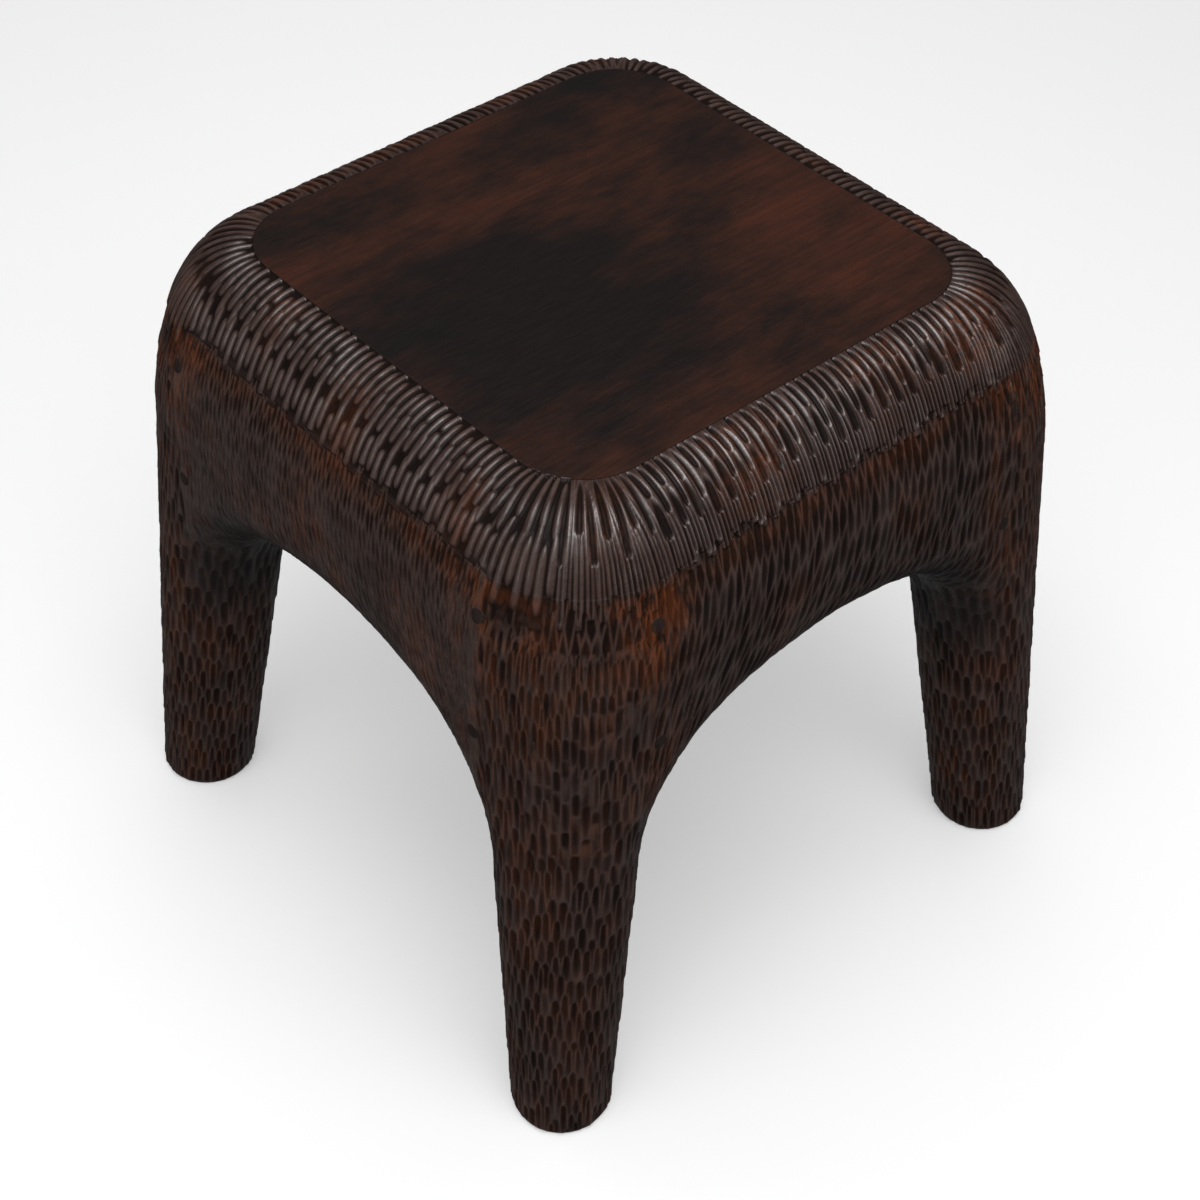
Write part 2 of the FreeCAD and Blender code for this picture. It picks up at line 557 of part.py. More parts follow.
def gouge_row(body, row):
    # Strokes from each corner to the middle of its two sides, and fanned round the corner between them
    z = f"(Sizes.height - Sizes.{row}_drop)"
    half, corner, lean = roll_half(z), roll_corner(z), roll_lean(z)
    bend = f"({half} - {corner})"
    lift = f"(Sizes.gouge_radius - Sizes.{row}_depth)"
    out, height = f"({half} + {lift} * cos({lean}))", f"({z} + {lift} * sin({lean}))"
    pitches = f"(round({bend} / Sizes.gouge_pitch - 0.5) + 0.5)"
    fan = f"round({corner} * pi / 2 / Sizes.gouge_pitch)"
    for side, role, axis, sign in (("side", "YZ_Plane", "Y_Axis", ""), ("back", "XZ_Plane", "X_Axis", "-")):
        stroke = gouge_stroke(body, f"{row}_{side}_stroke", role, bend, f"{sign}{out}", height,
                              f"{sign}(90 deg - {lean})")
        line = body.newObject("PartDesign::LinearPattern", f"{row}_{side}_strokes")
        line.Originals = [stroke]
        line.Direction = (origin(body, axis), [""])
        line.Reversed = True
        line.setExpression("Length", f"{bend} * ({pitches} - 0.5) / {pitches}")
        line.setExpression("Occurrences", f"{pitches} + 0.5")
        line.Refine = False
        body.Tip = line
        doc.recompute()
    centre = body.newObject("PartDesign::Line", f"{row}_corner_axis")
    centre.AttachmentSupport = [(origin(body, "XY_Plane"), "")]
    centre.MapMode = "ObjectZ"
    centre.setExpression("AttachmentOffset.Base.x", bend)
    centre.setExpression("AttachmentOffset.Base.y", bend)
    turn = body.newObject("PartDesign::PolarPattern", f"{row}_corner_strokes")
    turn.Originals = [stroke]
    turn.Axis = (centre, [""])
    turn.Reversed = True
    turn.setExpression("Angle", f"90 deg * (1 - 1 / {fan})")
    turn.setExpression("Occurrences", fan)
    turn.Refine = False
    body.Tip = turn
    doc.recompute()


# A quarter of the top, at the back right, rolled and carved
def make_quarter():
    quarter = doc.addObject("PartDesign::Body", "top_quarter")
    loft(quarter, "rolled_slab", roll_sections(), draw_rounded_square)
    reach = "Sizes.foot_spread / 2"
    for name, sides in (("left", (f"-{reach}", "0", f"-{reach}", reach)),
                        ("front", ("0", reach, f"-{reach}", "0"))):
        waste = add_sketch(quarter, f"{name}_waste", "XY_Plane")
        draw_box(waste, name, *sides)
        pocket(quarter, f"{name}_sawn", waste, True)
    for row in ("upper", "middle", "lower"):
        gouge_row(quarter, row)
    return quarter


def fused(name, piece, normal):
    # A piece and its mirror image in one
    whole = doc.addObject("Part::MultiFuse", name)
    whole.Shapes = [piece, mirrored(f"{name}_image", piece, normal)]
    whole.Refine = True
    doc.recompute()
    return whole


# The top: the quarter is ripped into half boards, bored for the dowels and mirrored to whole ones
def make_boards():
    quarter = make_quarter()
    board_bore = "Sizes.board_dowel_diameter / 2 + Sizes.joint_clearance"
    bores = group("top_bores", make_top_pins("top_bore", DOWEL_BORE, size("end_clearance"))
                  + make_board_pins("board_bore", board_bore, size("end_clearance")))
    edges = BOARD_JOINTS[1:] + ("Sizes.foot_spread / 2",)
    halves = []
    for name, front, back in zip(("middle", "inner", "outer"), edges, edges[1:]):
        strip = doc.addObject("Part::Box", f"{name}_strip")
        strip.setExpression("Length", "Sizes.foot_spread")
        strip.setExpression("Width", f"({back}) - ({front})")
        strip.setExpression("Height", "Sizes.height")
        strip.setExpression("Placement.Base.x", "-Sizes.foot_spread / 2")
        strip.setExpression("Placement.Base.y", front)
        ripped = doc.addObject("Part::Common", f"{name}_ripped")
        ripped.Base, ripped.Tool = quarter, strip
        bored = doc.addObject("Part::Cut", f"{name}_bored")
        bored.Base, bored.Tool = ripped, bores
        halves.append(bored)
    middle, inner, outer = halves
    board_3 = fused("top_board_3", fused("middle_half", middle, ACROSS_X), ACROSS_Y)
    board_4, board_5 = fused("top_board_4", inner, ACROSS_X), fused("top_board_5", outer, ACROSS_X)
    board_2, board_1 = mirrored("top_board_2", board_4, ACROSS_Y), mirrored("top_board_1", board_5, ACROSS_Y)
    return [board_1, board_2, board_3, board_4, board_5]


def make_frame(kind, first, names):
    # A piece and its three mirror images. A leg turns into the one opposite by two mirrors.
    images = []
    for name, source, normal in names:
        base = first if source is None else images[source]
        images.append(mirrored(f"{kind}_{name}", base, normal))
    return [first] + images


LEG_IMAGES = (("front_right", None, ACROSS_Y), ("back_left", None, ACROSS_X), ("front_left", 0, ACROSS_X))
APRON_IMAGES = (("front", None, ACROSS_Y), ("right", None, ACROSS_DIAGONAL), ("left", 1, ACROSS_X))

pieces = make_boards()
pieces += make_frame("leg", make_leg(), LEG_IMAGES)
pieces += make_frame("apron", make_apron(), APRON_IMAGES)
pieces += make_frame("tenon_pegs", make_pegs(), LEG_IMAGES)
pieces.append(group("top_dowels", make_top_pins("top_dowel", "Sizes.dowel_diameter / 2", "0")))
pieces.append(group("board_dowels", make_board_pins("board_dowel", "Sizes.board_dowel_diameter / 2", "0")))
doc.recompute()

for thing in doc.Objects:
    if "Invalid" in thing.State or "Error" in thing.State:
        raise RuntimeError(f"{thing.Label} failed: {thing.State}")
os.makedirs("parts", exist_ok=True)
for piece in pieces:
    if piece.Shape.isNull() or not piece.Shape.isValid():
        raise RuntimeError(f"{piece.Label} has no valid shape")
    piece.Shape.exportStep(f"parts/{piece.Label}.step")
    print(piece.Label, len(piece.Shape.Solids), round(piece.Shape.Volume / 1000, 1), "cm3")
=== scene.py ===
import bpy
import bmesh
import math
import numpy as np
from mathutils import Matrix, Vector


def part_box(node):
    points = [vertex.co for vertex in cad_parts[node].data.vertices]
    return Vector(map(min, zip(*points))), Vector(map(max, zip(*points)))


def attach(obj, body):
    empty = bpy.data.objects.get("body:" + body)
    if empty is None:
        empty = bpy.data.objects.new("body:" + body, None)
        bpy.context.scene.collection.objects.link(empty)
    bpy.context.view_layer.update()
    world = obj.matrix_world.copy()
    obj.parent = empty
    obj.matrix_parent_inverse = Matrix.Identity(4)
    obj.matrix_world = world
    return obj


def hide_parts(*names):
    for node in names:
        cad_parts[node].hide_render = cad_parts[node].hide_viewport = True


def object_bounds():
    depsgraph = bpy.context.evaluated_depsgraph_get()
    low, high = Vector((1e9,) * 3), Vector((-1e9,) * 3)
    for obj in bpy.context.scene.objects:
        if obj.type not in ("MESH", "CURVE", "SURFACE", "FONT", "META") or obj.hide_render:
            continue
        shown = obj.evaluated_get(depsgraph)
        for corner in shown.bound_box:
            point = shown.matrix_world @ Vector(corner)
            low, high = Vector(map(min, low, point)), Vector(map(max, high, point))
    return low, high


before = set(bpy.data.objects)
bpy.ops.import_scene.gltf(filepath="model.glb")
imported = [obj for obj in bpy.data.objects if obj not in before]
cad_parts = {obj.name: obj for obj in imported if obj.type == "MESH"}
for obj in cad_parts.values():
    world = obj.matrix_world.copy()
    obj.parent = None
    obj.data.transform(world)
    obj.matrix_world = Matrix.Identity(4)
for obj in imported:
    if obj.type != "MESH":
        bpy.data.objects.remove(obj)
cadLow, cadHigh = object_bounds()  # the CAD box
mm = 0.001  # every size below is in millimetres, the meshes are in metres
print("frame loaded:", len(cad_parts), "solids")

# Places that the solids already fix
boardCount = 5
panelHeight = cadHigh.z / mm
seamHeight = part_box("leg_back_right")[1].z / mm
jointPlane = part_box("leg_back_right")[0].x / mm
boardJoints = [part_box(f"top_board_{number}")[1].y / mm for number in range(1, boardCount)]

tableForm = {
    "footSpread": 508,  # across the outsides of two feet
    "footWidth": 72,
    "footCorner": 35,
    "footEdge": 6,  # round at the bottom of a foot
    "shoulderWidth": 483,
    "shoulderHeight": 366,  # where the straight splay turns into the rolled edge
    "shoulderCorner": 73,
    "panelSide": 356,
    "panelCorner": 50,
    "rollFullness": 2.24,  # power of the rolled edge, 2 is a plain ellipse
    "apronInside": 179.5,  # table's middle to an apron's inner face
    "apronInnerRound": 14,
    "archHeight": 328,
    "crownRadius": 264,
    "haunchRadius": 101,
    "legLean": 7.9,  # degrees
    "archRound": (36, 47),  # round of the arches' arrises, at the foot and from the knee up
    "kneeHeight": 250,
    "sideSwell": 2.0,  # how much fuller the rolled edge is half way up
    "cornerSwell": 14,
}
panelBend = tableForm["panelSide"] / 2 - tableForm["panelCorner"]  # where the panel's corners begin


# The outer form

def blend(one, two, share):
    # The first where the share is 0, the second where it is 1
    return one + (two - one) * share


def sectionAt(z):
    # Half width and corner radius at a height: below the shoulder both run straight to the feet,
    # above it a full quarter ellipse carries them in to the panel
    form = tableForm
    rise = np.clip((z - form["shoulderHeight"]) / (panelHeight - form["shoulderHeight"]), 0, 1)
    roll = (1 - rise ** form["rollFullness"]) ** (1 / form["rollFullness"])
    fall = np.clip(1 - z / form["shoulderHeight"], 0, None)
    half = blend(form["panelSide"], form["shoulderWidth"], roll)
    half = (half + (form["footSpread"] - form["shoulderWidth"]) * fall) / 2
    corner = blend(form["panelCorner"], form["shoulderCorner"], roll)
    corner = corner + (form["footCorner"] - form["shoulderCorner"]) * fall
    swell = np.sin(math.pi * rise)
    return half + form["sideSwell"] * swell, corner + form["cornerSwell"] * swell


def outsideGap(x, y, z):
    # Plan distance to the rounded square of that height, negative in the wood
    half, corner = sectionAt(z)
    across, along = np.abs(x) - half + corner, np.abs(y) - half + corner
    outside = np.hypot(np.maximum(across, 0), np.maximum(along, 0))
    return outside + np.minimum(np.maximum(across, along), 0) - corner


def archSizes():
    # The lean, half the gap between two feet, the height of the crown arc's centre, the turn at which
    # the crown meets a haunch, and the haunch arc's centre: side, haunch and crown are tangent
    form = tableForm
    lean = math.radians(form["legLean"])
    gap = form["footSpread"] / 2 - form["footWidth"]
    middle = form["archHeight"] - form["crownRadius"]
    reach = form["crownRadius"] - form["haunchRadius"]
    aside = gap * math.cos(lean) - form["haunchRadius"] - middle * math.sin(lean)
    turn = math.asin(aside / reach) - lean
    return lean, gap, middle, turn, reach * math.sin(turn), middle + reach * math.cos(turn)


def archGap(across, z):
    # Distance from the arched opening, positive in the wood: to the leaning side low down,
    # to the haunch circle above it and to the crown circle in the middle
    lean, gap, middle, turn, haunchX, haunchZ = archSizes()
    aside = np.abs(across)
    side = (aside - gap) * math.cos(lean) + z * math.sin(lean)
    haunch = np.hypot(aside - haunchX, z - haunchZ) - tableForm["haunchRadius"]
    crown = np.hypot(aside, z - middle) - tableForm["crownRadius"]
    upright = (z - haunchZ) * math.cos(lean) < (aside - haunchX) * math.sin(lean)
    overCrown = aside * math.cos(turn) < (z - middle) * math.sin(turn)
    return np.where(upright, side, np.where(overCrown, crown, haunch))


def roundMeet(gaps, radius):
    # Several walls meeting in wood, with the arris between them rounded
    deepest = np.minimum(np.max(gaps, axis=0), -radius)
    return deepest + np.sqrt(sum(np.maximum(radius + gap, 0) ** 2 for gap in gaps))


def arrisRound(z):
    # The legs are nearly round, so their arrises grow with them up to the knee
    return blend(*tableForm["archRound"], np.clip(z / tableForm["kneeHeight"], 0, 1))


def frameGap(x, y, z):
    # The shell of legs and aprons: inside the outer form and outside both arched tunnels
    return roundMeet([outsideGap(x, y, z), -archGap(x, z), -archGap(y, z)], arrisRound(z))


def slopeOf(gap, x, y, z, step=0.4):
    # Outward direction of a form, from differences a small step each way
    slope = np.stack([gap(x + step, y, z) - gap(x - step, y, z),
                      gap(x, y + step, z) - gap(x, y - step, z),
                      gap(x, y, z + step) - gap(x, y, z - step)])
    return slope / np.maximum(np.linalg.norm(slope, axis=0), 1e-9)


def castTo(gap, start, way, reach, halvings=34):
    # Halves the way along each ray until it stands on the form
    near = np.zeros(start.shape[1])
    far = np.full(start.shape[1], float(reach))
    for _ in range(halvings):
        middle = (near + far) / 2
        inside = gap(*(start + way * middle)) < 0
        near, far = np.where(inside, middle, near), np.where(inside, far, middle)
    return start + way * near


def rollLengths(steps=4001):
    # Distance over the rolled edge from the panel, against the half width and the height there
    z = panelHeight - (panelHeight - seamHeight) * np.linspace(0, 1, steps) ** 2
    half, _ = sectionAt(z)
    length = np.concatenate([[0], np.cumsum(np.hypot(np.diff(half), np.diff(z)))])
    return length, half, z


rollLength, rollHalf, rollHeight = rollLengths()
seamAlong = rollLength[-1]


def alongForm(x, y, z, along):
    # Distance down the form from the panel's edge, counted on past the seam if not given, and how far in
    inset = np.maximum(-outsideGap(x, y, z), 0)
    return seamAlong + seamHeight - z + inset if along is None else along, inset


# The carving, as a depth at each place on the outer form. Across a stroke a place is counted in cells,
# one to each stroke of its row; along it in millimetres down the form from the panel's edge.
# Each cut has a width in cells, and how far its strokes stray: shake along them, wander across.

clear = 3.0  # a cut lifted by this much cuts nothing
handWork = {
    "length": 0.3, "shift": 0.18, "turn": 0.006,  # how much strokes differ in length, place and direction
    "deepest": 1.25, "differ": 0.5,  # depth of the deepest, and how much less the others are
    "ridge": 0.7,  # a ridge shows where two cuts are this close in depth
}
rimCuts = {
    "pitch": 6.6, "depth": 1.9,
    "drops": (1.8, 12.2, 29.4),  # heights of the three rows under the panel, as on the solids
    "tip": (8, 4),  # length and power of the blunt tip of a flute or stroke
    "turn": (0.5, 0.62),  # share of a corner where the grains take over from the flutes
    "bend": (0, 0.5), "cornerDrop": 12,  # round the corners the strokes are longer and hang lower
    "ragged": 11, "level": 0.6,  # how much the lower edge wanders, and the share of it above the seam
    "step": 0.9, "stepFade": (36, 4),  # the wood below is cut back, less and less further down
    "edge": 0.6,  # half width of that step
    "line": 0.8, "linePlace": 0.3, "lineWidth": 0.6,  # painted shadow, a dark line under the rim's lower edge
    "shade": 0.42, "shadeIn": (6, 15), "shadeOut": (48, 34),  # darker half way down the grains
    "seed": 3, "fluteRow": 5, "grainRow": 6,
}
# flutes short and long in turn, a scoop under each short one, and fine strokes down to the seam
fluteCut = {"tips": (23, 39), "start": 2, "power": 5, "width": 0.5, "depth": 1.9, "wander": 0.06,
            "shake": 5, "seed": 3, "row": 0, "rounded": True}
underCut = {"tip": 51, "length": 32, "power": 2.5, "width": 0.62, "depth": 1.9, "corner": (0, 0.1),
            "shake": 7, "seed": 3, "row": 1, "rounded": False}
fineCut = {"tip": 75, "length": 54, "power": 3, "width": 0.5, "depth": 1.4, "wander": 0.2,
           "shake": 16, "seed": 3, "row": 4, "rounded": True, "finer": 2}
grainCut = {
    "shift": 9,  # every other grain is lower by this much
    "floorRise": (-12, -2),  # the ground between the grains rises to the step at the lower edge
    "ridge": (0.8, 0.15),
    "power": 5, "wander": 0.08, "shake": 5, "seed": 31, "rounded": False,
}
grainRows = [  # middle of each row, and the lengths of a grain above and below it, longer at the corners
    {"place": 12.5, "ends": (17, 12.5), "cornerEnds": (17, 25), "width": 0.40, "turnsCorner": True},
    {"place": 33, "ends": (12.5, 12.5), "cornerEnds": (12.5, 12.5), "width": 0.5, "turnsCorner": False},
    {"place": 54.5, "ends": (12.5, 17), "cornerEnds": (21, 27), "width": 0.53, "turnsCorner": True},
]
netCut = {"power": 2, "width": 0.60, "wander": 0.25, "rounded": False,
          "lean": 0.06, "bend": 0.0016, "least": 0.15, "toLeg": (0.1, 0.75)}  # leans to the front corner
coarseNet = {**netCut, "pitch": 7.0, "row": 24, "half": 24, "depth": 1.2, "shake": 18, "seed": 11}
fineNet = {**netCut, "pitch": 4.6, "row": 15, "half": 16, "depth": 0.8, "shake": 11, "seed": 17}
legCut = {
    "row": 19, "above": (6, 3), "below": (32, 2), "width": 0.56, "depth": 1.2,
    "count": (38, 62), "grow": (240, 420),  # strokes round a leg low down and at its top
    "sway": 5, "swaySize": 21, "swaySeed": 4,
    "shake": 17, "seed": 23, "wander": 0.2, "rounded": False,
}
bodyZones = {
    "wanderSize": 34, "wanderSeed": 1,
    "inward": (50, 26),  # the net runs out on the way in under an arch
    "legTop": (300, 235), "cornerTop": (450, 425), "heightWander": 14,  # how high the leg's strokes go
    "corner": (158, 176), "cornerWander": 6,  # how near the corner they go so high
    "netEnds": (0.9, 0.6), "legStarts": (0.1, 0.4),
    "fineSide": (0.7, 0.95), "coarseEnds": (0.8, 0.3), "fineStarts": (0.2, 0.7),
}


def smoothStep(low, high, value):
    # From 0 at the first number to 1 at the second, which may be the lower one, level at both
    share = np.clip((value - low) / (high - low), 0, 1)
    return share * share * (3 - 2 * share)


def scatter(one, two, seed):
    # The same even scatter from 0 to 1 for the same two whole numbers: the fraction of a large sine
    value = np.sin(one * 12.9898 + two * 78.233 + seed * 37.719) * 43758.5453
    return value - np.floor(value)


def waves(x, y, z, size, seed):
    # A slow wander between -1 and 1 made of three crossed sine waves
    turn = seed * 1.7
    return (np.sin(x / size + 1.3 * np.sin(y / size * 0.7 + turn) + turn)
            + np.sin(y / size * 1.1 + 1.1 * np.sin(z / size * 0.8 + turn) + 2 * turn)
            + np.sin(z / size * 0.9 + 1.2 * np.sin(x / size * 0.6 + turn) + 3 * turn)) / 3


def ringPlace(x, y, bend):
    # Which of the eight stretches round the table, side and corner in turn, the share along it,
    # and how far it has turned from the front or back, 0, to the left or right side, 1
    overX, overY = np.abs(x) - bend, np.abs(y) - bend
    corner = (overX > 0) & (overY > 0)
    fan = np.arctan2(np.maximum(overX, 0), np.maximum(overY, 0)) / (math.pi / 2)
    onFront = ~corner & (overY > overX)
    stretch = np.select([onFront & (y < 0), corner & (x > 0) & (y < 0), ~corner & ~onFront & (x > 0),
                         corner & (x > 0), onFront, corner & (y > 0), ~corner & ~onFront],
                        [0, 1, 2, 3, 4, 5, 6], 7)
    side = 2 * bend
    share = np.select([stretch == number for number in range(7)],
                      [(x + bend) / side, fan, (y + bend) / side, 1 - fan,
                       (bend - x) / side, fan, (bend - y) / side], 1 - fan)
    onEnds = np.select([stretch % 4 == 0, stretch % 4 == 2], [0.0, 1.0], fan)
    return stretch, share, onEnds


def ringCells(stretch, share, side, corner):
    # Scoops counted round the ring, a whole number to each side and each corner, and how many in all
    start = (stretch // 2) * (side + corner) + (stretch % 2) * side
    return start + share * np.where(stretch % 2 == 0, side, corner), 4 * (side + corner)


def cornerReach():
    # Length round a corner fan at the shoulder, by its mean radius
    half, corner = sectionAt(np.array(tableForm["shoulderHeight"]))
    slip = half - corner - panelBend
    return float((half - panelBend + slip * math.sqrt(2) + corner) / 2 * math.pi / 2)


def nearScoops(cells, total):
    # The three nearest scoops of a row: places across them in cells, and their numbers round the ring
    for beside in (-1, 0, 1):
        number = np.round(cells) + beside
        yield cells - number, np.mod(number, total)


def stroke(cut, across, label, row, along, up, down):
    # From a stroke's middle, 0, to its edge, 1: across it a parabola, or a wave that leaves round crests,
    # and power curves to its two ends, each a length and a power. Each stroke is shifted, lengthened
    # and turned a little.
    length = 1 + handWork["length"] * (scatter(label, row, cut["seed"] + 1) - 0.5)
    drift = scatter(label, row, cut["seed"] + 2) - 0.5
    place = along + cut["shake"] * (scatter(label, row, cut["seed"]) - 0.5)
    beside = np.abs(across - handWork["shift"] * drift + handWork["turn"] * drift * place) / cut["width"]
    ends = np.where(place < 0, np.abs(place / (up[0] * length)) ** up[1],
                    np.abs(place / (down[0] * length)) ** down[1])
    if cut["rounded"]:
        return (1 - np.cos(math.pi * np.minimum(beside, 1))) / 2 + 2 * np.maximum(beside - 1, 0) + ends
    return beside ** 2 + ends


def scoop(cut, across, label, row, along, up, down):
    # A stroke as a concave cut from its middle to its edge, some deeper than others
    share = handWork["deepest"] - handWork["differ"] * scatter(label, row, cut["seed"] + 3)
    return cut["depth"] * share * (stroke(cut, across, label, row, along, up, down) - 1)


def rimScoop(cut, across, label, along, length):
    # A stroke of the rim, with its upper end that long and its tip blunt
    return scoop(cut, across, label, cut["row"], along, (length, cut["power"]), rimCuts["tip"])


def uncut(along):
    # The two lowest cuts where there are none yet: the form itself, and one well clear of it
    return [np.zeros_like(along), np.full_like(along, clear)]


def deeper(levels, cut):
    # Keeps the two lowest of what is there and a new cut
    return [np.minimum(levels[0], cut), np.minimum(levels[1], np.maximum(levels[0], cut))]


def ridgeOf(levels):
    # 1 on the ridge between two cuts, 0 inside a cut and on wood that isn't cut
    return 1 - smoothStep(0, handWork["ridge"], levels[1] - levels[0])


def rimRing(x, y, drop, finer=1):
    # Strokes of a row counted round its own ring at its height, as on the solids
    half, corner = sectionAt(np.array(panelHeight - drop))
    bend, pitch = half - corner, rimCuts["pitch"]
    stretch, share, onEnds = ringPlace(x, y, bend)
    side = 2 * np.round(bend / pitch - 0.5) + 1
    cells, total = ringCells(stretch, share, side * finer, np.round(corner * math.pi / 2 / pitch) * finer)
    return cells, total, onEnds


def cornerShare(onEnds):
    # 0 along the sides, 1 over most of a corner
    return smoothStep(*rimCuts["bend"], 4 * onEnds * (1 - onEnds))


def lowerEdge(cells, total, row, corner):
    # The rim's lower edge: the seam, stepped from stroke to stroke and hanging lower at the corners
    rag = scatter(np.mod(np.round(cells), total), row, rimCuts["seed"]) - rimCuts["level"]
    return seamAlong + rimCuts["ragged"] * (1 + corner) * rag + rimCuts["cornerDrop"] * corner


def flutes(x, y, along, wander):
    # Front and back: flutes from the panel's edge, scoops under the short ones and fine strokes below
    tipLength = rimCuts["tip"][0]
    cells, total, onEnds = rimRing(x, y, rimCuts["drops"][0])
    corner = cornerShare(onEnds)
    hang = rimCuts["cornerDrop"] * corner
    levels = uncut(along)
    for across, label in nearScoops(cells + fluteCut["wander"] * wander, total):
        isLong = np.mod(label, 2)
        middle = blend(*fluteCut["tips"], isLong) - tipLength + hang
        length = middle + fluteCut["start"]
        levels = deeper(levels, rimScoop(fluteCut, across, label, along - middle, length))
        middle, length = underCut["tip"] - tipLength, underCut["length"] - tipLength
        missing = clear * np.maximum(isLong, smoothStep(*underCut["corner"], onEnds))
        levels = deeper(levels, rimScoop(underCut, across, label, along - middle, length) + missing)
    cells, total, _ = rimRing(x, y, rimCuts["drops"][2], fineCut["finer"])
    middle, length = fineCut["tip"] - tipLength + hang, fineCut["length"] - tipLength + 2 * hang
    for across, label in nearScoops(cells + fineCut["wander"] * wander, total):
        levels = deeper(levels, rimScoop(fineCut, across, label, along - middle, length))
    return levels[0], ridgeOf(levels), lowerEdge(cells, total, rimCuts["fluteRow"], corner)


def grains(x, y, along, wander):
    # Left and right: three rows of raised grains with round ends, cut free all round
    edge = np.full_like(along, clear)
    for row, drop in enumerate(rimCuts["drops"]):
        cut = {**grainCut, **grainRows[row]}
        cells, total, onEnds = rimRing(x, y, drop)
        cells = cells + 0.5  # a grain stands between two strokes of the solid
        corner = cornerShare(onEnds)
        lengths = zip(cut["ends"], cut["cornerEnds"])
        up, down = ((blend(*pair, corner), cut["power"]) for pair in lengths)
        missing = 0 if cut["turnsCorner"] else clear * corner
        for across, label in nearScoops(cells + cut["wander"] * wander, total):
            middle = cut["place"] + cut["shift"] * (np.mod(label + row, 2) - 0.5)
            edge = np.minimum(edge, stroke(cut, across, label, row, along - middle, up, down) + missing)
    lower = lowerEdge(cells, total, rimCuts["grainRow"], corner)
    depth = rimCuts["depth"]
    floor = blend(depth, rimCuts["step"], smoothStep(*grainCut["floorRise"], along - lower))
    return -np.minimum(depth * edge, floor), smoothStep(*grainCut["ridge"], edge), lower


def netLevels(net, x, y, along, wander):
    # A net of pointed scoops below the seam, leaning more the lower they are
    stretch, share, _ = ringPlace(x, y, panelBend)
    least = net["least"]
    toLeg = np.select([stretch % 4 == 0, stretch % 4 == 2], [1 - share, share], 0.5)
    pull = np.where(stretch % 2 == 0, blend(least, 1, smoothStep(*net["toLeg"], toLeg)), 1)
    inCorner = np.where(stretch % 4 == 3, 1 - 2 * share, least * (2 * share - 1))
    way = np.select([stretch % 4 == 2, stretch % 4 == 0], [1.0, -1.0], inCorner)
    drop = along - seamAlong
    low = np.maximum(drop, 0)
    lean = way * pull * (net["lean"] * low + net["bend"] * low ** 2)
    side, corner = round(2 * panelBend / net["pitch"]), round(cornerReach() / net["pitch"])
    ring, total = ringCells(stretch, share, side, corner)
    ends = (net["half"], net["power"])
    levels = uncut(along)
    for step in (-2, -1, 0, 1, 2):
        row = np.floor(drop / net["row"]) + step
        cells = ring + 0.5 * (row % 2) - lean / net["pitch"] + net["wander"] * wander
        place = drop - (row + 0.5) * net["row"]
        for across, label in nearScoops(cells, total):
            levels = deeper(levels, scoop(net, across, label, row, place, ends, ends))
    return levels


def legAxis(z):
    # Middle of a leg, straight from the foot up, between its outside and its leaning inner side
    form = tableForm
    splay = (form["footSpread"] - form["shoulderWidth"]) / 2
    outer = form["footSpread"] / 2 - splay * z / form["shoulderHeight"]
    inner = form["footSpread"] / 2 - form["footWidth"] - z * math.tan(math.radians(form["legLean"]))
    return (outer + inner) / 2


def legLevels(x, y, z, wander):
    # Scale-like scoops down a leg, steep at the top and running out below, more of them round its top
    cut = legCut
    middle = legAxis(z)
    turn = np.arctan2(np.abs(y) - middle, np.abs(x) - middle) / (2 * math.pi)
    quarter = np.where(x > 0, 0, 1) + np.where(y > 0, 0, 2)
    down = seamHeight - z + cut["sway"] * waves(x, y, 0 * z, cut["swaySize"], cut["swaySeed"])
    levels = uncut(z)
    for step in (-2, -1, 0, 1, 2):
        row = np.floor(down / cut["row"]) + step
        grown = smoothStep(*cut["grow"], seamHeight - (row + 0.5) * cut["row"])
        count = np.round(blend(*cut["count"], grown))
        cells = turn * count + 0.5 * (row % 2) + cut["wander"] * wander
        place = down - (row + 0.5) * cut["row"]
        for across, label in nearScoops(cells, count):
            label = label + 100 * quarter  # each leg has strokes of its own
            levels = deeper(levels, scoop(cut, across, label, row, place, cut["above"], cut["below"]))
    return levels


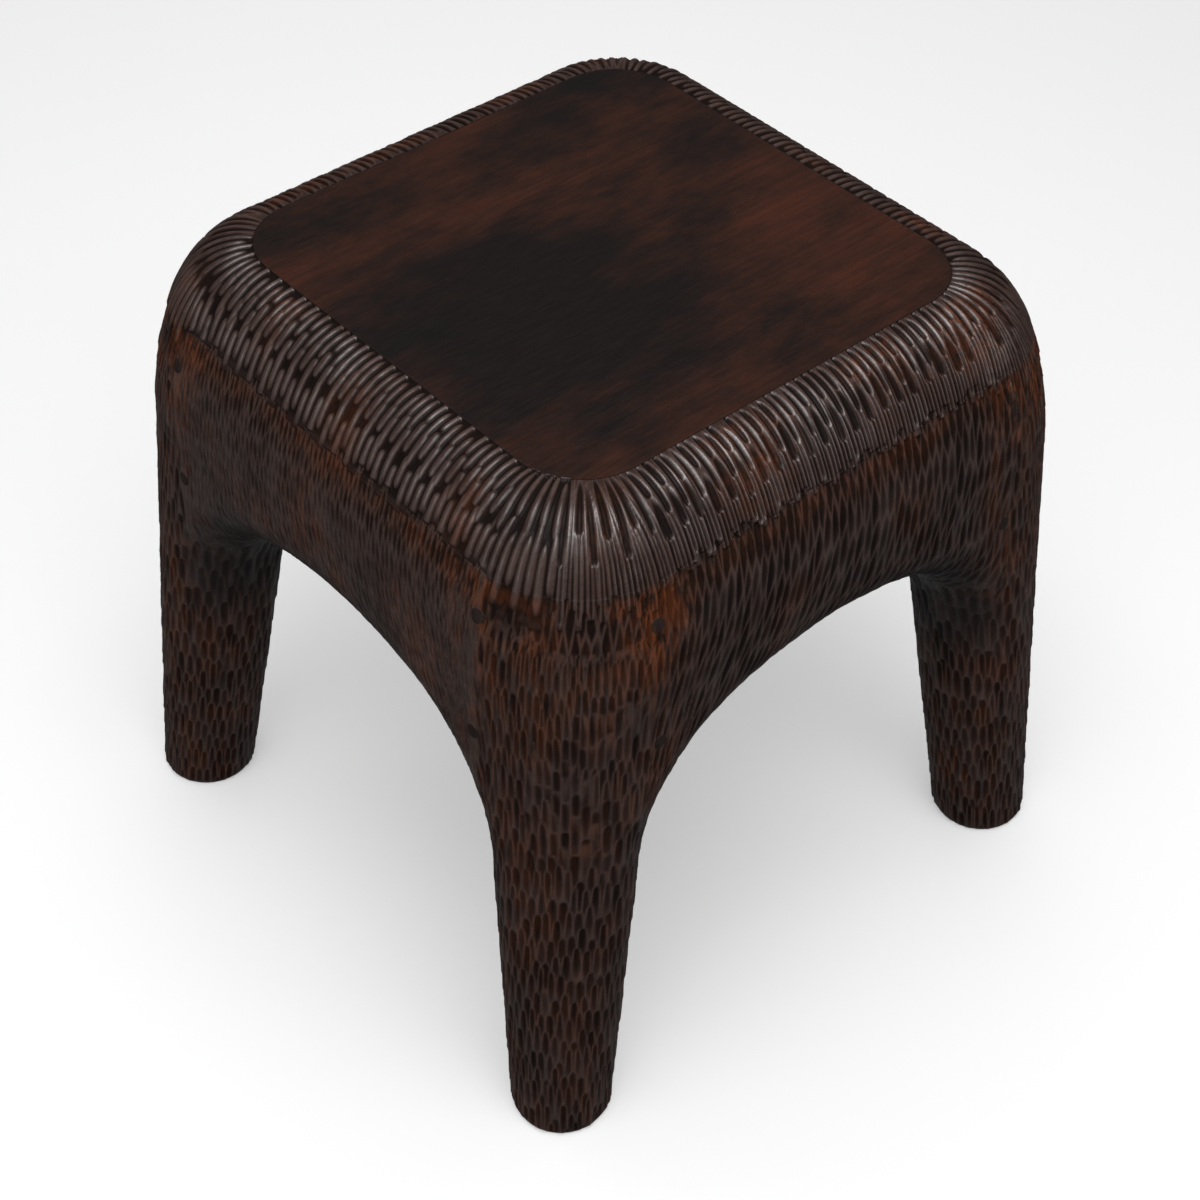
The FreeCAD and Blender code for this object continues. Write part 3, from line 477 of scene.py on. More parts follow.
def carve(x, y, z, along=None):
    # At a place on the outer form: depth of the carving, 0 or less, how near it is to a ridge,
    # and how much it is darkened: painted shadow in the line under the rim, and darker half way down the
    # grains
    cut, zone = rimCuts, bodyZones
    wander = waves(x, y, z, zone["wanderSize"], zone["wanderSeed"])
    along, inset = alongForm(x, y, z, along)
    onSide = smoothStep(*cut["turn"], rimRing(x, y, cut["drops"][1])[2])
    both = zip(flutes(x, y, along, wander), grains(x, y, along, wander))
    rim, rimRidge, lower = (blend(*pair, onSide) for pair in both)
    # the body: nets on the aprons, scales on the legs, and both fading where they meet
    higher = z + zone["heightWander"] * wander
    nearer = np.minimum(np.abs(x), np.abs(y))
    outerCorner = smoothStep(*zone["corner"], nearer + zone["cornerWander"] * wander)
    onLeg = np.maximum(smoothStep(*zone["legTop"], higher),
                       outerCorner * smoothStep(*zone["cornerTop"], higher))
    onLeg = np.where(nearer > jointPlane, onLeg, 0)
    onNet = smoothStep(*zone["inward"], inset) * smoothStep(*zone["netEnds"], onLeg)
    onFine = smoothStep(*zone["fineSide"], ringPlace(x, y, panelBend)[2])
    coarse, fine = (netLevels(net, x, y, along, wander) for net in (coarseNet, fineNet))
    levels = uncut(z)
    for pair, share in ((coarse, onNet * smoothStep(*zone["coarseEnds"], onFine)),
                        (fine, onNet * smoothStep(*zone["fineStarts"], onFine)),
                        (legLevels(x, y, z, wander), smoothStep(*zone["legStarts"], onLeg))):
        for level in pair:
            levels = deeper(levels, level + clear * (1 - share))
    # the rim over the body
    past = along - lower
    onBody = smoothStep(-cut["edge"], cut["edge"], past)
    ground = -cut["step"] * smoothStep(*cut["stepFade"], past)
    # painted shadow: a dark line just under the rim's ragged lower edge
    dark = cut["line"] * np.exp(-((past - cut["linePlace"]) / cut["lineWidth"]) ** 2)
    # darker half way down the grains on the left and right
    band = smoothStep(*cut["shadeIn"], along) * smoothStep(*cut["shadeOut"], along)
    dark = np.maximum(dark, cut["shade"] * band * onSide * (1 - onBody))
    ridge = blend(rimRidge, ridgeOf(levels), onBody) * (1 - dark)
    return blend(rim, levels[0] + ground, onBody), ridge, dark


stainAndShadeTones = {
    "patchSize": 17, "patchSeed": 6,
    "inLeg": (-10, 20),  # a leg's tone starts about the joint plane
    "underSeam": (-2, 4),  # the warm band, from the seam down
    "apronFade": (34, 5), "legFade": (134, 20),
    "apronWarm": 0.45, "evenWarm": 0.4,  # its strength on an apron, and outside the patches
    "patchWarm": 0.4, "patches": (0.45, 0.9), "patchStart": (3, 10),
    "legWarm": 0.15, "legPatches": 0.3, "legDrop": (0, 20),
    # painted shade, cool and dark, by the arches and on the inner faces, only from about 150 mm up
    "archPaintedShade": (46, 6), "insidePaintedShade": (8, 40), "paintedShadeHeight": (150, 260),
}


def tones(x, y, z, along=None):
    # Where the stain is warm, under the seam and most over the legs, and where painted shade darkens it,
    # cool and dark, by the arches and inside
    tone = stainAndShadeTones
    along, inset = alongForm(x, y, z, along)
    drop = along - seamAlong
    inLeg = smoothStep(*tone["inLeg"], np.minimum(np.abs(x), np.abs(y)) - jointPlane)
    patches = 0.5 + 0.5 * waves(x, y, z, tone["patchSize"], tone["patchSeed"])
    fade = (blend(*pair, inLeg) for pair in zip(tone["apronFade"], tone["legFade"]))
    warm = smoothStep(*tone["underSeam"], drop) * smoothStep(*fade, drop)
    warm = warm * blend(tone["apronWarm"], 1, inLeg) * blend(tone["evenWarm"], 1, patches)
    blots = smoothStep(*tone["patches"], patches) * smoothStep(*tone["patchStart"], along)
    warm = np.maximum(warm, tone["patchWarm"] * blots)
    onLeg = inLeg * smoothStep(*tone["legDrop"], drop)
    warm = np.maximum(warm, (tone["legWarm"] + tone["legPatches"] * patches) * onLeg)
    # painted shade near the arches and on the inner faces
    arch = np.minimum(archGap(x, z), archGap(y, z))
    paintedShade = np.maximum(smoothStep(*tone["archPaintedShade"], arch), smoothStep(*tone["insidePaintedShade"], inset))
    return warm, np.clip(paintedShade * smoothStep(*tone["paintedShadeHeight"], z), 0, 1)


# Meshes

def gridFaces(rows, columns, wrap):
    # Quads of a grid of points, counted row by row, joined round if it wraps
    across = np.arange(columns if wrap else columns - 1)
    row, column = np.meshgrid(np.arange(rows - 1), across, indexing="ij")
    beside = (column + 1) % columns
    quads = [row * columns + column, row * columns + beside,
             (row + 1) * columns + beside, (row + 1) * columns + column]
    return np.stack(quads, axis=-1).reshape(-1, 4)


def poleFaces(ring, pole, outward):
    # Triangles from a closed ring of points to its middle
    around = np.roll(ring, -1)
    fan = [ring, around] if outward else [around, ring]
    return np.stack(fan + [np.full_like(ring, pole)], axis=-1)


def tubeFaces(rows, columns, flipped):
    # Quads of a tube of rows, and triangles that close it to two points after the last row
    count = rows * columns
    bottom = poleFaces(np.arange(columns), count, False)
    top = poleFaces(np.arange(count - columns, count), count + 1, True)
    faces = gridFaces(rows, columns, True), np.concatenate([bottom, top])
    return [each[:, ::-1] for each in faces] if flipped else faces


def addObject(name, data):
    # A new object in the scene
    made = bpy.data.objects.new(name, data)
    bpy.context.scene.collection.objects.link(made)
    return made


def putMesh(name, points, quads, triangles, values):
    # Points in millimetres, faces as whole arrays, and one attribute for each named value
    mesh = bpy.data.meshes.new(name)
    corners = np.concatenate([quads.ravel(), triangles.ravel()]).astype(np.int32)
    sizes = np.concatenate([np.full(len(quads), 4), np.full(len(triangles), 3)])
    starts = np.concatenate([[0], np.cumsum(sizes)[:-1]]).astype(np.int32)
    mesh.vertices.add(len(points))
    mesh.vertices.foreach_set("co", (points * mm).astype(np.float32).ravel())
    mesh.loops.add(len(corners))
    mesh.loops.foreach_set("vertex_index", corners)
    mesh.polygons.add(len(sizes))
    mesh.polygons.foreach_set("loop_start", starts)
    mesh.update(calc_edges=True)
    curved = [np.ptp(points[faces][:, :, 2], axis=1) > 1e-4 for faces in (quads, triangles)]
    mesh.polygons.foreach_set("use_smooth", np.concatenate(curved))  # level faces stay flat
    for key, value in values.items():
        layer = mesh.attributes.new(key, "FLOAT", "POINT")
        layer.data.foreach_set("value", value.astype(np.float32))
    return addObject(name, mesh)


def sawAt(piece, cuts):
    # Saws a piece at planes, each a point and the way to the waste, and closes it with a flat face
    shape = bmesh.new()
    shape.from_mesh(piece.data)
    for place, waste in cuts:
        everything = shape.verts[:] + shape.edges[:] + shape.faces[:]
        result = bmesh.ops.bisect_plane(shape, geom=everything, dist=1e-7, plane_co=Vector(place) * mm,
                                        plane_no=waste, clear_outer=True)
        edges = [part for part in result["geom_cut"] if isinstance(part, bmesh.types.BMEdge)]
        rim = [edge for edge in edges if edge.is_boundary]
        made = bmesh.ops.contextual_create(shape, geom=rim)["faces"]
        for face in made:
            face.smooth = False
            if face.normal.dot(waste) < 0:
                face.normal_flip()
            for edge in face.edges:
                edge.smooth = False
        bmesh.ops.triangulate(shape, faces=made)
    shape.to_mesh(piece.data)
    shape.free()


def dress(piece, node, material):
    # Gives a piece its wood, and its place on the body instead of a solid
    piece.data.materials.append(material)
    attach(piece, "root")
    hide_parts(node)


def surfaceValues(depth, ridge, dark, warm, paintedShade, more):
    # What the finishes read at each point, with plain values for the points that are added at the end
    # darkened places count as deep cuts: painted shadow under the rim and along the panel's edge, and the
    # darker band on the grains
    cut = np.maximum(np.clip(-depth / rimCuts["depth"], 0, 1), dark)
    shares = {"cut": cut, "ridge": ridge, "warm": warm, "paintedShade": paintedShade}
    return {key: np.append(value.ravel(), np.zeros(more)) for key, value in shares.items()}


def carveShell(x, y, z, share, ends, slack=1e-3):
    # Carves the shell inward by the share, level at the seam: its points, the ends too, and their values
    depth, ridge, dark = (value * share for value in carve(x, y, z))
    points = np.stack([x, y, z]) + slopeOf(frameGap, x, y, z) * depth
    points[2] = np.where(z > seamHeight - slack, seamHeight, points[2])
    values = surfaceValues(depth, ridge, dark, *tones(x, y, z), len(ends))
    return np.concatenate([points.T, ends]), values


legMesh = {
    "columns": 400, "rows": 226, "footRows": 6,
    "spare": 4,  # sawn off at the joints
    "reach": 160,  # longer than any ray
    "moves": (200, 300),  # where the rays' axis moves from the leg's own to the middle of the corner
    "skin": (-2.5, -0.5),  # only what lies on the shell is carved
    "sole": 1,  # and the sole isn't
}


def makeLeg(name, signX, signY, material):
    # Rays from the leg's axis at each height and turn, out to the leg's surface, then carved inward
    size, edge = legMesh, tableForm["footEdge"]
    low = edge * (1 - np.cos(np.linspace(0, math.pi / 2, size["footRows"] + 1)[:-1]))
    z = np.concatenate([low, np.linspace(edge, seamHeight, size["rows"])])
    turn = np.arange(size["columns"]) / size["columns"] * 2 * math.pi
    z, turn = np.meshgrid(z, turn, indexing="ij")
    bound = jointPlane - size["spare"]
    block = (bound + sectionAt(z)[0]) / 2
    middle = blend(legAxis(z), block, smoothStep(*size["moves"], z))
    foot, head = middle[0, 0], middle[-1, 0]
    ends = np.array([[signX * foot, signY * foot, 0], [signX * head, signY * head, seamHeight]])

    def legGap(x, y, height):
        # The shell down to the floor, as far as the planes of the two joints
        shell = roundMeet([frameGap(x, y, height), -height], edge)
        return np.maximum(shell, np.maximum(bound - x, bound - y))

    start = np.stack([middle.ravel(), middle.ravel(), z.ravel()])
    way = np.stack([np.cos(turn).ravel(), np.sin(turn).ravel(), np.zeros(z.size)])
    x, y, height = castTo(legGap, start, way, size["reach"])
    x, y = x * signX, y * signY
    onShell = np.where(height < size["sole"], 0, smoothStep(*size["skin"], frameGap(x, y, height)))
    points, values = carveShell(x, y, height, onShell, ends)
    points[:, 2] = np.clip(points[:, 2], 0, seamHeight)
    piece = putMesh(name, points, *tubeFaces(*z.shape, signX * signY < 0), values)
    sawAt(piece, [((signX * jointPlane, 0, 0), (-signX, 0, 0)),
                  ((0, signY * jointPlane, 0), (0, -signY, 0))])
    dress(piece, name.replace("carved_", ""), material)


apronMesh = {
    "columns": 330,
    "sides": (6, 186, 46, 14),  # rows on the top, the outside, the arch and the inside of a section
    "spare": 3, "reach": 180, "skin": (-3, -0.6),
    "archSearch": (200, 400, 0.5),  # heights among which the lowest wood is found
}


def makeApron(name, quarter, material):
    # Rays from the apron's own middle line round each cross-section, out to its surface, then carved inward
    size, inside = apronMesh, tableForm["apronInside"]
    columns, rows = size["columns"], sum(size["sides"])
    count = rows * columns
    reach = jointPlane + size["spare"]
    place = np.linspace(-reach, reach, columns)
    half, _ = sectionAt(np.array(seamHeight))
    heights = np.arange(*size["archSearch"])[:, None]
    lowest = np.min(np.where(archGap(place[None, :], heights) > 0, heights, seamHeight), axis=0)
    highest = np.full(columns, seamHeight)
    # the rays' aims, round the section from the top's inner corner
    shoulder = tableForm["shoulderWidth"] / 2
    corners = [(inside, highest), (half, highest), (shoulder, lowest), (inside, lowest)]
    aimY, aimZ = [], []
    for number, aims in enumerate(size["sides"]):
        share = np.arange(aims)[:, None] / aims
        (hereY, hereZ), (thereY, thereZ) = corners[number], corners[(number + 1) % 4]
        aimY.append(np.repeat(blend(hereY, thereY, share), columns, axis=1))
        aimZ.append(blend(hereZ, thereZ, share))
    x = np.repeat(place[None, :], rows, axis=0)
    middleY = np.full_like(x, (inside + half) / 2)
    middleZ = np.repeat((lowest + seamHeight)[None, :] / 2, rows, axis=0)
    way = [np.zeros_like(x), np.concatenate(aimY) - middleY, np.concatenate(aimZ) - middleZ]
    way = np.stack(way).reshape(3, -1)
    way = way / np.linalg.norm(way, axis=0)
    start = np.stack([x, middleY, middleZ]).reshape(3, -1)

    def apronGap(x, y, z):
        # Between the outside, the arch, the flat inner face and the underside of the top
        arris = roundMeet([outsideGap(x * 0, y, z), -archGap(x, z)], arrisRound(z))
        body = roundMeet([arris, inside - y], tableForm["apronInnerRound"])
        return np.maximum(np.maximum(body, z - seamHeight), inside - y)

    x, y, z = castTo(apronGap, start, way, size["reach"])
    turnX, turnY = [(1, 0), (0, 1), (-1, 0), (0, -1)][quarter]  # which way the back apron is turned
    x, y = x * turnX - y * turnY, x * turnY + y * turnX
    endX, endY, endZ = place[[0, -1]], middleY[0, 0], middleZ[0, [0, -1]]
    ends = np.stack([endX * turnX - endY * turnY, endX * turnY + endY * turnX, endZ], axis=1)
    points, values = carveShell(x, y, z, smoothStep(*size["skin"], frameGap(x, y, z)), ends)
    quads = gridFaces(rows + 1, columns, False) % count
    left = np.arange(rows) * columns
    right = left + columns - 1
    triangles = np.concatenate([poleFaces(left, count, True), poleFaces(right, count + 1, False)])
    piece = putMesh(name, points, quads, triangles, values)
    way = Vector((turnX, turnY, 0))
    sawAt(piece, [(way * jointPlane, way), (-way * jointPlane, -way)])
    dress(piece, name.replace("carved_", ""), material)


topMesh = {
    "side": 410, "corner": 190, "roll": 90,  # columns on a side and round a corner, rows down the roll
    "panelRing": 0.8,  # a ring of points this far inside the panel's edge
    "underRing": 0.97,  # and one under the top, as a share of its size
    "fade": (-0.4, 1.2), "edgeShadeLine": 0.8,  # the carving starts at the panel's edge, in a dark line of painted shade
}


def makeBoards(material):
    # A slab swept round the table: panel, rolled edge and underside as rows, the ring as columns.
    # Each board is sawn from it at its joints.
    size = topMesh
    side = (np.arange(size["side"]) / size["side"] * 2 - 1) * panelBend
    fan = np.arange(size["corner"]) / size["corner"] * math.pi / 2
    along = np.linspace(0, seamAlong, size["roll"])
    half = np.interp(along, rollLength, rollHalf)[:, None]
    z = np.interp(along, rollLength, rollHeight)[:, None]
    # from the panel's bend out to the corner's arc, or to the straight side beside it
    corner = sectionAt(z)[1]
    slip, wide = half - corner - panelBend, half - panelBend
    sine, cosine = np.sin(fan), np.cos(fan)
    both = cosine + sine
    reach = slip * both + np.sqrt(np.maximum(slip ** 2 * both ** 2 - 2 * slip ** 2 + corner ** 2, 0))
    reach = np.where(reach * cosine < slip, wide / np.maximum(sine, 1e-6), reach)
    reach = np.where(reach * sine < slip, wide / np.maximum(cosine, 1e-6), reach)
    # one quarter turn: the front side from left to right, then the corner fan towards the right side
    frontX, frontY = np.repeat(side[None, :], len(along), 0), np.repeat(-half, len(side), 1)
    fanX, fanY = panelBend + reach * sine, -panelBend - reach * cosine
    quarterX, quarterY = np.concatenate([frontX, fanX], 1), np.concatenate([frontY, fanY], 1)
    x = np.concatenate([quarterX, -quarterY, -quarterX, quarterY], 1)
    y = np.concatenate([quarterY, quarterX, -quarterY, -quarterX], 1)
    columns = x.shape[1]
    z = np.repeat(z, columns, 1)
    along = np.repeat(along[:, None], columns, 1)
    fromPanel = smoothStep(*size["fade"], along)
    depth, ridge, dark = (value * fromPanel for value in carve(x, y, z, along))
    # painted shade: a dark line along the panel's edge
    dark = np.maximum(dark, 1 - smoothStep(0, size["edgeShadeLine"], along))
    # outward direction from the grid's own slopes
    down = np.stack([np.gradient(value, axis=0) for value in (x, y, z)])
    around = np.stack([(np.roll(value, -1, 1) - np.roll(value, 1, 1)) / 2 for value in (x, y, z)])
    out = np.cross(around, down, axis=0)
    out = -out / np.maximum(np.linalg.norm(out, axis=0), 1e-9)
    rim = np.stack([x, y, z]) + out * depth
    rim[2] = np.clip(rim[2], seamHeight, panelHeight)
    shrink = 1 - size["panelRing"] / np.hypot(x[0], y[0])
    inner = np.stack([x[0] * shrink, y[0] * shrink, z[0]])
    under = np.stack([*(rim[:2, -1] * size["underRing"]), np.full(columns, seamHeight)])
    grid = np.concatenate([inner[:, None], rim, under[:, None]], axis=1)
    poles = np.array([[0, 0, panelHeight], [0, 0, seamHeight]])
    points = np.concatenate([grid.reshape(3, -1).T, poles])
    quads, triangles = tubeFaces(len(grid[0]), columns, True)
    plain = np.zeros((1, columns))
    carved = (depth, ridge, dark, *tones(x, y, z, along))
    values = surfaceValues(*(np.concatenate([plain, value, plain]) for value in carved), len(poles))
    onPanel = np.concatenate([plain + 1, along * 0, plain])
    values["panel"] = np.append(onPanel.ravel(), [1, 0])
    for number in range(1, boardCount + 1):
        piece = putMesh(f"carved_top_board_{number}", points, quads, triangles, values)
        cuts = []
        if number > 1:
            cuts.append(((0, boardJoints[number - 2], 0), (0, -1, 0)))
        if number < boardCount:
            cuts.append(((0, boardJoints[number - 1], 0), (0, 1, 0)))
        sawAt(piece, cuts)
        dress(piece, f"top_board_{number}", material)


pegMesh = {
    "columns": 32, "rings": (1.0, 0.92, 0.7, 0.4), "radius": 5,
    "proud": 0.15,  # of the carving round it
    "bottom": 189.5,  # its inner end, from the table's middle
    "reach": 90,
}


def makePegs(name, signX, signY, material):
    # Round pegs driven in from both faces of a leg, their ends pared off level with the carving
    size, columns = pegMesh, pegMesh["columns"]
    low, high = (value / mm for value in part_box("tenon_pegs_back_right"))
    place = low.x + size["radius"]
    turn = np.arange(columns) / columns * 2 * math.pi
    ring = np.array(size["rings"])[:, None] * size["radius"]
    across = np.append((place + ring * np.cos(turn)).ravel(), place)
    outward = np.array([[0.0], [1.0], [0.0]])
    points, quads, triangles = [], [], []
    for centre in (low.z + size["radius"], high.z - size["radius"]):
        height = np.append((centre + ring * np.sin(turn)).ravel(), centre)
        start = np.stack([across, np.full_like(across, size["bottom"]), height])
        x, y, z = castTo(frameGap, start, outward, size["reach"])
        for swapped in (False, True):
            pegX, pegY = (y * signX, x * signY) if swapped else (x * signX, y * signY)
            axis, bottom = (0, size["bottom"] * signX) if swapped else (1, size["bottom"] * signY)
            depth = carve(pegX, pegY, z)[0] + size["proud"]
            end = np.stack([pegX, pegY, z]) + slopeOf(frameGap, pegX, pegY, z) * depth
            foot = end[:, :columns].copy()
            middle = np.array([pegX[-1], pegY[-1], z[-1]])
            foot[axis] = middle[axis] = bottom
            flipped = (signX * signY > 0) != swapped
            faces, ends = tubeFaces(len(size["rings"]) + 1, columns, flipped)
            first = sum(len(each) for each in points)
            quads.append(faces + first)
            triangles.append(ends + first)
            points.append(np.concatenate([foot.T, end[:, :-1].T, middle[None], end[:, -1:].T]))
    piece = putMesh(name, *(np.concatenate(each) for each in (points, quads, triangles)), {})
    dress(piece, name.replace("carved_", "tenon_"), material)


# Finishes

def newMaterial(name):
    # A material with its node tree and its one shader
    material = bpy.data.materials.new(name)
    material.use_nodes = True
    tree = material.node_tree
    shader = next(node for node in tree.nodes if node.type == "BSDF_PRINCIPLED")
    return material, tree, shader


def fillIn(tree, node, sockets):
    # Each socket, by its name or number, gets a link from another node or a plain value
    for key, value in sockets.items():
        if isinstance(value, bpy.types.NodeSocket):
            tree.links.new(value, node.inputs[key])
        else:
            node.inputs[key].default_value = value


def addNode(tree, kind, sockets, **settings):
    # A node with its own settings and its sockets filled in
    node = tree.nodes.new(kind)
    for key, value in settings.items():
        setattr(node, key, value)
    fillIn(tree, node, sockets)
    return node.outputs


def mixColour(tree, share, one, two):
    # The first colour where the share is 0, the second where it is 1
    sockets = {0: share, 6: one, 7: two}
    return addNode(tree, "ShaderNodeMix", sockets, data_type="RGBA")[2]


def rampOf(tree, *numbers):
    # As the first number goes from the second to the third, from 0 to 1 or from the fourth to the fifth
    sockets = dict(enumerate(numbers))
    return addNode(tree, "ShaderNodeMapRange", sockets, interpolation_type="SMOOTHSTEP")[0]


def mathOf(tree, operation, *numbers):
    # One step of arithmetic
    return addNode(tree, "ShaderNodeMath", dict(enumerate(numbers)), operation=operation)[0]


def objectPlace(tree):
    # Each point's place on the piece, in metres
    return addNode(tree, "ShaderNodeTexCoord", {})["Object"]


def streaks(tree, scale, detail, rough):
    # Noise on the piece's own places, drawn out along an axis by a smaller scale there
    place = addNode(tree, "ShaderNodeMapping", {"Vector": objectPlace(tree), "Scale": scale})[0]
    sockets = {"Vector": place, "Scale": 1.0, "Detail": detail, "Roughness": rough}
    return addNode(tree, "ShaderNodeTexNoise", sockets)[0]


def readValue(tree, name):
    # What the mesh holds at each point under that name
    return addNode(tree, "ShaderNodeAttribute", {}, attribute_name=name)["Fac"]


woodNoise = {  # scale along each axis, detail and roughness, then the range that counts and what it gives
    "worn": (((60, 60, 60), 4.0, 0.6), (0.25, 0.6, 0.35, 1.0)),
    "fibres": (((260, 260, 26), 4.0, 0.65), (0.38, 0.52)),
    "clouds": (((30, 30, 15), 5.0, 0.65), (0.3, 0.62)),
    "dull": (((34, 34, 34), 4.0, 0.6), (0.36, 0.64, 0.35, 1.0)),
    "panelClouds": (((6, 11, 11), 7.0, 0.68), (0.34, 0.72)),
    "panelLines": (((12, 300, 60), 3.0, 0.6), (0.3, 0.75, 0.6, 1.0)),
    "pinGrain": (((300, 300, 30), 3.0, 0.55), (0.35, 0.7)),
}
carvedFinish = {
    "hollowStainAndShade": (0.0045, 0.0030, 0.0026, 1),  # stain pooled in the cuts, with painted shade
    "plain": (0.0150, 0.0075, 0.0058, 1),
    "ridge": (0.0320, 0.0192, 0.0162, 1),  # rubbed thin on the ridges
    "warmHollow": (0.0440, 0.0120, 0.0036, 1),
    "warmRidge": (0.1000, 0.0265, 0.0074, 1),
    "warmDark": (0.0090, 0.0042, 0.0030, 1),  # dark fibres in the warm wood
    # painted shade by the arches and inside, and how strong it gets
    "paintedShade": (0.0085, 0.0080, 0.0082, 1), "paintedShadeRange": (0.0, 1.0, 0.0, 0.7),
    "poolAndShadeDepths": (0.15, 0.75),  # depths of a cut between which the stain pools and the painted shade deepens
    "gloss": (0.1, 0.7, 0.72, 0.06),  # from a crest down into a cut
    "grain": (3.0, 0.6), "roughness": (0.3, 0.7, 0.25, 0.43),
    "bump": {"Strength": 0.1, "Distance": 0.0003},
}
panelFinish = {
    "dark": (0.0032, 0.0024, 0.0023, 1),
    "brown": (0.0295, 0.0084, 0.0040, 1),
    "gloss": (0.33, 0.33, 0.33, 1),
    "darkPlace": (-0.075, -0.035, 0.508),  # where the panel is stained darkest, in metres
    "darkReach": (0.21, 0.32, 0.05, 1.0),
    "darkRagged": 0.3, "ragged": ((9, 24, 24), 6.0, 0.65),
}
pinFinish = {
    "peg": (0.012, 0.006, 0.0045, 1),
    "dowel": (0.30, 0.19, 0.10, 1),
    "darker": 0.55, "roughness": 0.6, "gloss": 0.2,
}


def noiseShare(tree, name):
    # A named noise as a share
    noise, span = woodNoise[name]
    return rampOf(tree, streaks(tree, *noise), *span)


def panelColour(tree):
    # Brown clouds and lines along the boards on a nearly black stain, darkest about one place
    finish = panelFinish
    sockets = {0: objectPlace(tree), 1: finish["darkPlace"]}
    away = addNode(tree, "ShaderNodeVectorMath", sockets, operation="DISTANCE")["Value"]
    away = mathOf(tree, "MULTIPLY_ADD", streaks(tree, *finish["ragged"]), finish["darkRagged"], away)
    brown = mathOf(tree, "MULTIPLY", noiseShare(tree, "panelClouds"), noiseShare(tree, "panelLines"))
    brown = mathOf(tree, "MULTIPLY", brown, rampOf(tree, away, *finish["darkReach"]))
    return mixColour(tree, brown, finish["dark"], finish["brown"])


def carvedWood(name, grain, withPanel):
    # Dark stain that pools in the cuts, with painted shade there, and rubs thin on the ridges, warm in
    # patches, and painted shade, cool and dark, by the arches
    material, tree, shader = newMaterial(name)
    finish = carvedFinish
    cut = readValue(tree, "cut")
    ridge = mathOf(tree, "MULTIPLY", readValue(tree, "ridge"), noiseShare(tree, "worn"))
    # the cuts darken with depth: pooled stain and painted shade
    body = mixColour(tree, rampOf(tree, cut, *finish["poolAndShadeDepths"]), finish["plain"], finish["hollowStainAndShade"])
    colour = mixColour(tree, ridge, body, finish["ridge"])
    warm = mixColour(tree, ridge, finish["warmHollow"], finish["warmRidge"])
    warm = mixColour(tree, noiseShare(tree, "fibres"), finish["warmDark"], warm)
    inPatches = mathOf(tree, "MULTIPLY", readValue(tree, "warm"), noiseShare(tree, "clouds"))
    colour = mixColour(tree, inPatches, colour, warm)
    # painted shade by the arches and inside
    paintedShade = rampOf(tree, readValue(tree, "paintedShade"), *finish["paintedShadeRange"])
    colour = mixColour(tree, paintedShade, colour, finish["paintedShade"])
    gloss = mathOf(tree, "MULTIPLY", rampOf(tree, cut, *finish["gloss"]), noiseShare(tree, "dull"))
    if withPanel:
        onPanel = readValue(tree, "panel")
        colour = mixColour(tree, onPanel, colour, panelColour(tree))
        gloss = mixColour(tree, onPanel, gloss, panelFinish["gloss"])
    fine = streaks(tree, grain, *finish["grain"])
    bump = addNode(tree, "ShaderNodeBump", {"Height": fine, **finish["bump"]})[0]
    fillIn(tree, shader, {"Base Color": colour, "Roughness": rampOf(tree, fine, *finish["roughness"]),
                          "Specular IOR Level": gloss, "Normal": bump})
    return material


def plainWood(name, colour):
    # Pegs and dowels: turned wood with a fine grain
    material, tree, shader = newMaterial(name)
    darker = tuple(value * pinFinish["darker"] for value in colour[:3]) + (1,)
    grained = mixColour(tree, noiseShare(tree, "pinGrain"), colour, darker)
    fillIn(tree, shader, {"Base Color": grained, "Roughness": pinFinish["roughness"],
                          "Specular IOR Level": pinFinish["gloss"]})
    return material


frameWood = carvedWood("carved_frame_wood", (500, 500, 40), False)  # grain along the legs
topWood = carvedWood("carved_top_wood", (40, 500, 500), True)  # grain along the boards
pegWood = plainWood("dark_peg_wood", pinFinish["peg"])
dowelWood = plainWood("dowel_wood", pinFinish["dowel"])

makeBoards(topWood)
print("top boards carved")
cornerSigns = (("back_right", 1, 1), ("front_right", 1, -1), ("back_left", -1, 1), ("front_left", -1, -1))
for cornerName, signX, signY in cornerSigns:
    makeLeg(f"carved_leg_{cornerName}", signX, signY, frameWood)
print("legs carved")
for quarter, sideName in enumerate(("back", "left", "front", "right")):
    makeApron(f"carved_apron_{sideName}", quarter, frameWood)
print("aprons carved")
for cornerName, signX, signY in cornerSigns:
    makePegs(f"carved_pegs_{cornerName}", signX, signY, pegWood)
print("pegs set")
for nodeName in ("top_dowels", "board_dowels"):
    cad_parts[nodeName].data.materials.clear()
    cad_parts[nodeName].data.materials.append(dowelWood)

# Studio

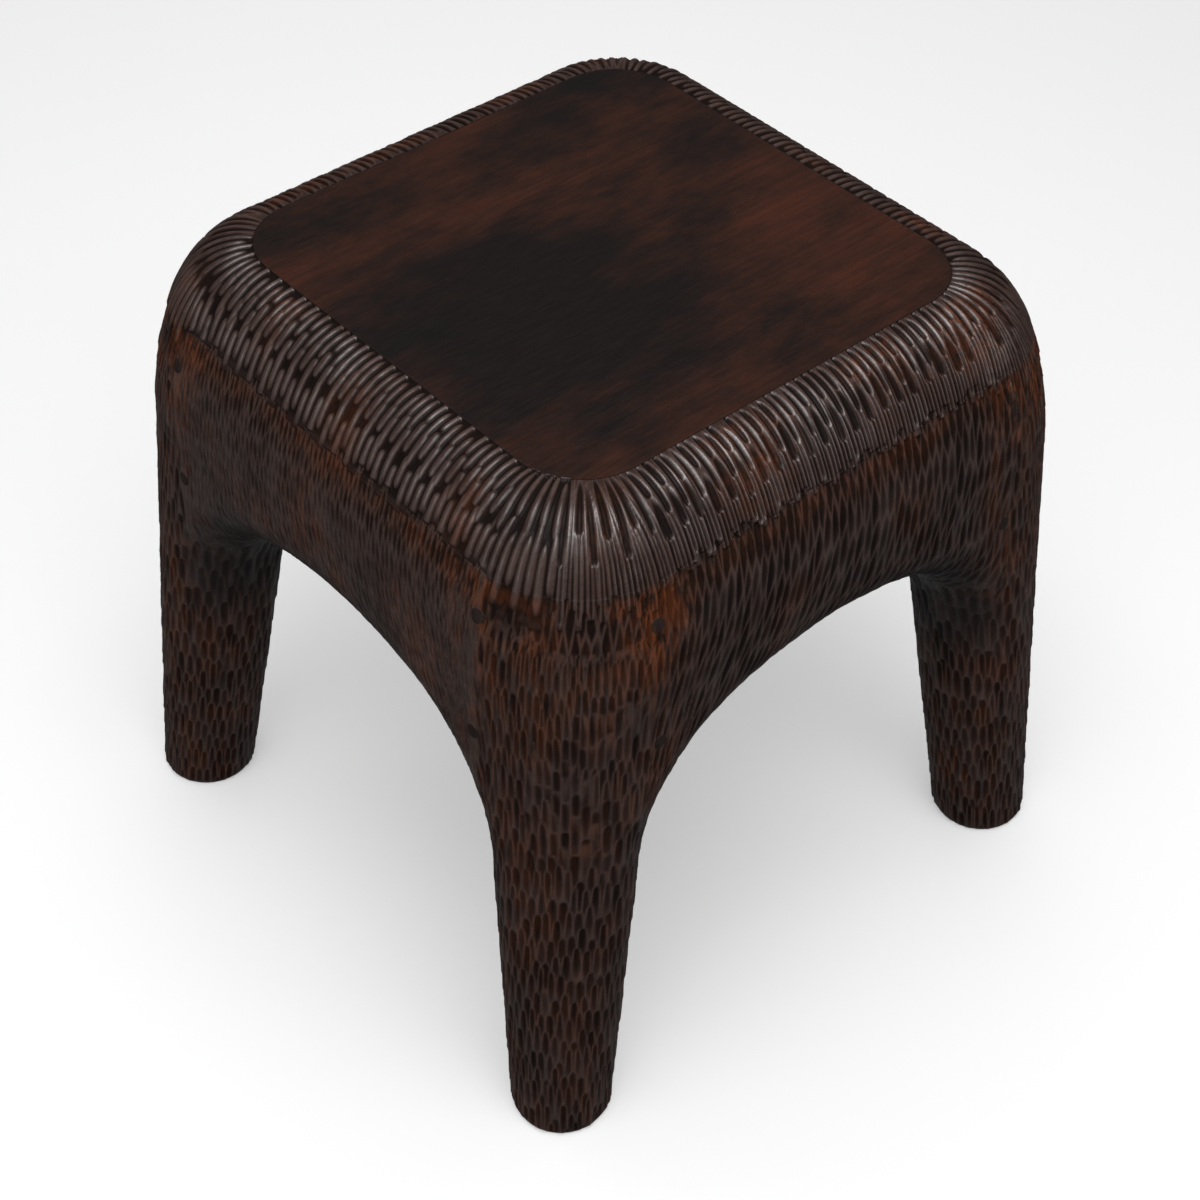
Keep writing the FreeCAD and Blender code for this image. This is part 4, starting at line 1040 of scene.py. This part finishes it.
studio = {
    "floorReach": 30,
    "floor": {"Base Color": (0.36, 0.36, 0.36, 1), "Roughness": 0.9, "Specular IOR Level": 0.0,
              "Emission Color": (1, 1, 1, 1), "Emission Strength": 0.36},  # the glow keeps the shadow pale
    "air": {"Color": (1, 1, 1, 1), "Strength": 0.10},
    "lights": [  # name, size, power, place, the point it faces, in metres, and whether the gloss shows it
        ("softbox", 1.7, 70, (-0.55, -0.75, 2.2), (0, 0, 0.3), True),
        ("left_fill", 1.2, 10, (-2.0, 0.1, 1.2), (0, 0, 0.25), True),
        ("right_fill", 1.2, 10, (0.5, -2.0, 1.2), (0, 0, 0.25), True),
        ("floor_wash", 3.6, 100, (0.5, 1.0, 3.0), (0.5, 1.0, 0), False),
    ],
}
photoView = {
    "azimuth": -41.98, "elevation": 43.2074, "roll": 1.1758,  # degrees
    "focal": 2463.77, "frame": 1200, "sensor": 36,  # focal length in pixels of the frame
    "distance": 1.629, "right": 0.0005, "up": 0.2293,  # metres from the middle of the panel
}


def makeFloor():
    # A plain pale floor that the gloss of the wood doesn't show, so the sides stay dark
    reach = studio["floorReach"]
    mesh = bpy.data.meshes.new("floor")
    corners = [(-reach, -reach, 0), (reach, -reach, 0), (reach, reach, 0), (-reach, reach, 0)]
    mesh.from_pydata(corners, [], [(0, 1, 2, 3)])
    floor = addObject("floor", mesh)
    material, tree, shader = newMaterial("pale_floor")
    fillIn(tree, shader, studio["floor"])
    mesh.materials.append(material)
    floor.visible_glossy = False


def makeLights():
    # A faint even world and square soft lights, each turned to the point that it faces
    world = bpy.data.worlds.new("studio_air")
    world.use_nodes = True
    tree = world.node_tree
    fillIn(tree, next(node for node in tree.nodes if node.type == "BACKGROUND"), studio["air"])
    bpy.context.scene.world = world
    for name, size, power, place, target, glossy in studio["lights"]:
        light = bpy.data.lights.new(name, "AREA")
        light.size = size
        light.energy = power
        lamp = addObject(name, light)
        lamp.location = place
        lamp.visible_glossy = glossy
        lamp.rotation_euler = (Vector(target) - Vector(place)).to_track_quat("-Z", "Y").to_euler()


def makeCamera():
    # The photograph's view: back from the middle of the panel by its angles, then slid across and down
    view = photoView
    turn, lift, roll = (math.radians(view[key]) for key in ("azimuth", "elevation", "roll"))
    back = Vector((math.sin(turn) * math.cos(lift), -math.cos(turn) * math.cos(lift), math.sin(lift)))
    level = Vector((0, 0, 1)).cross(back).normalized()
    rise = back.cross(level)
    right = math.cos(roll) * level + math.sin(roll) * rise
    up = math.cos(roll) * rise - math.sin(roll) * level
    middle = Vector((0, 0, panelHeight * mm))
    lens = bpy.data.cameras.new("photo_view")
    lens.sensor_width = view["sensor"]
    lens.lens = view["focal"] / view["frame"] * lens.sensor_width
    camera = addObject("photo_view", lens)
    camera.matrix_world = Matrix((right, up, back)).transposed().to_4x4()
    camera.location = middle + back * view["distance"] - right * view["right"] - up * view["up"]
    bpy.context.scene.camera = camera


makeFloor()
makeLights()
makeCamera()
bpy.context.scene.view_settings.view_transform = "Standard"
print("studio set")
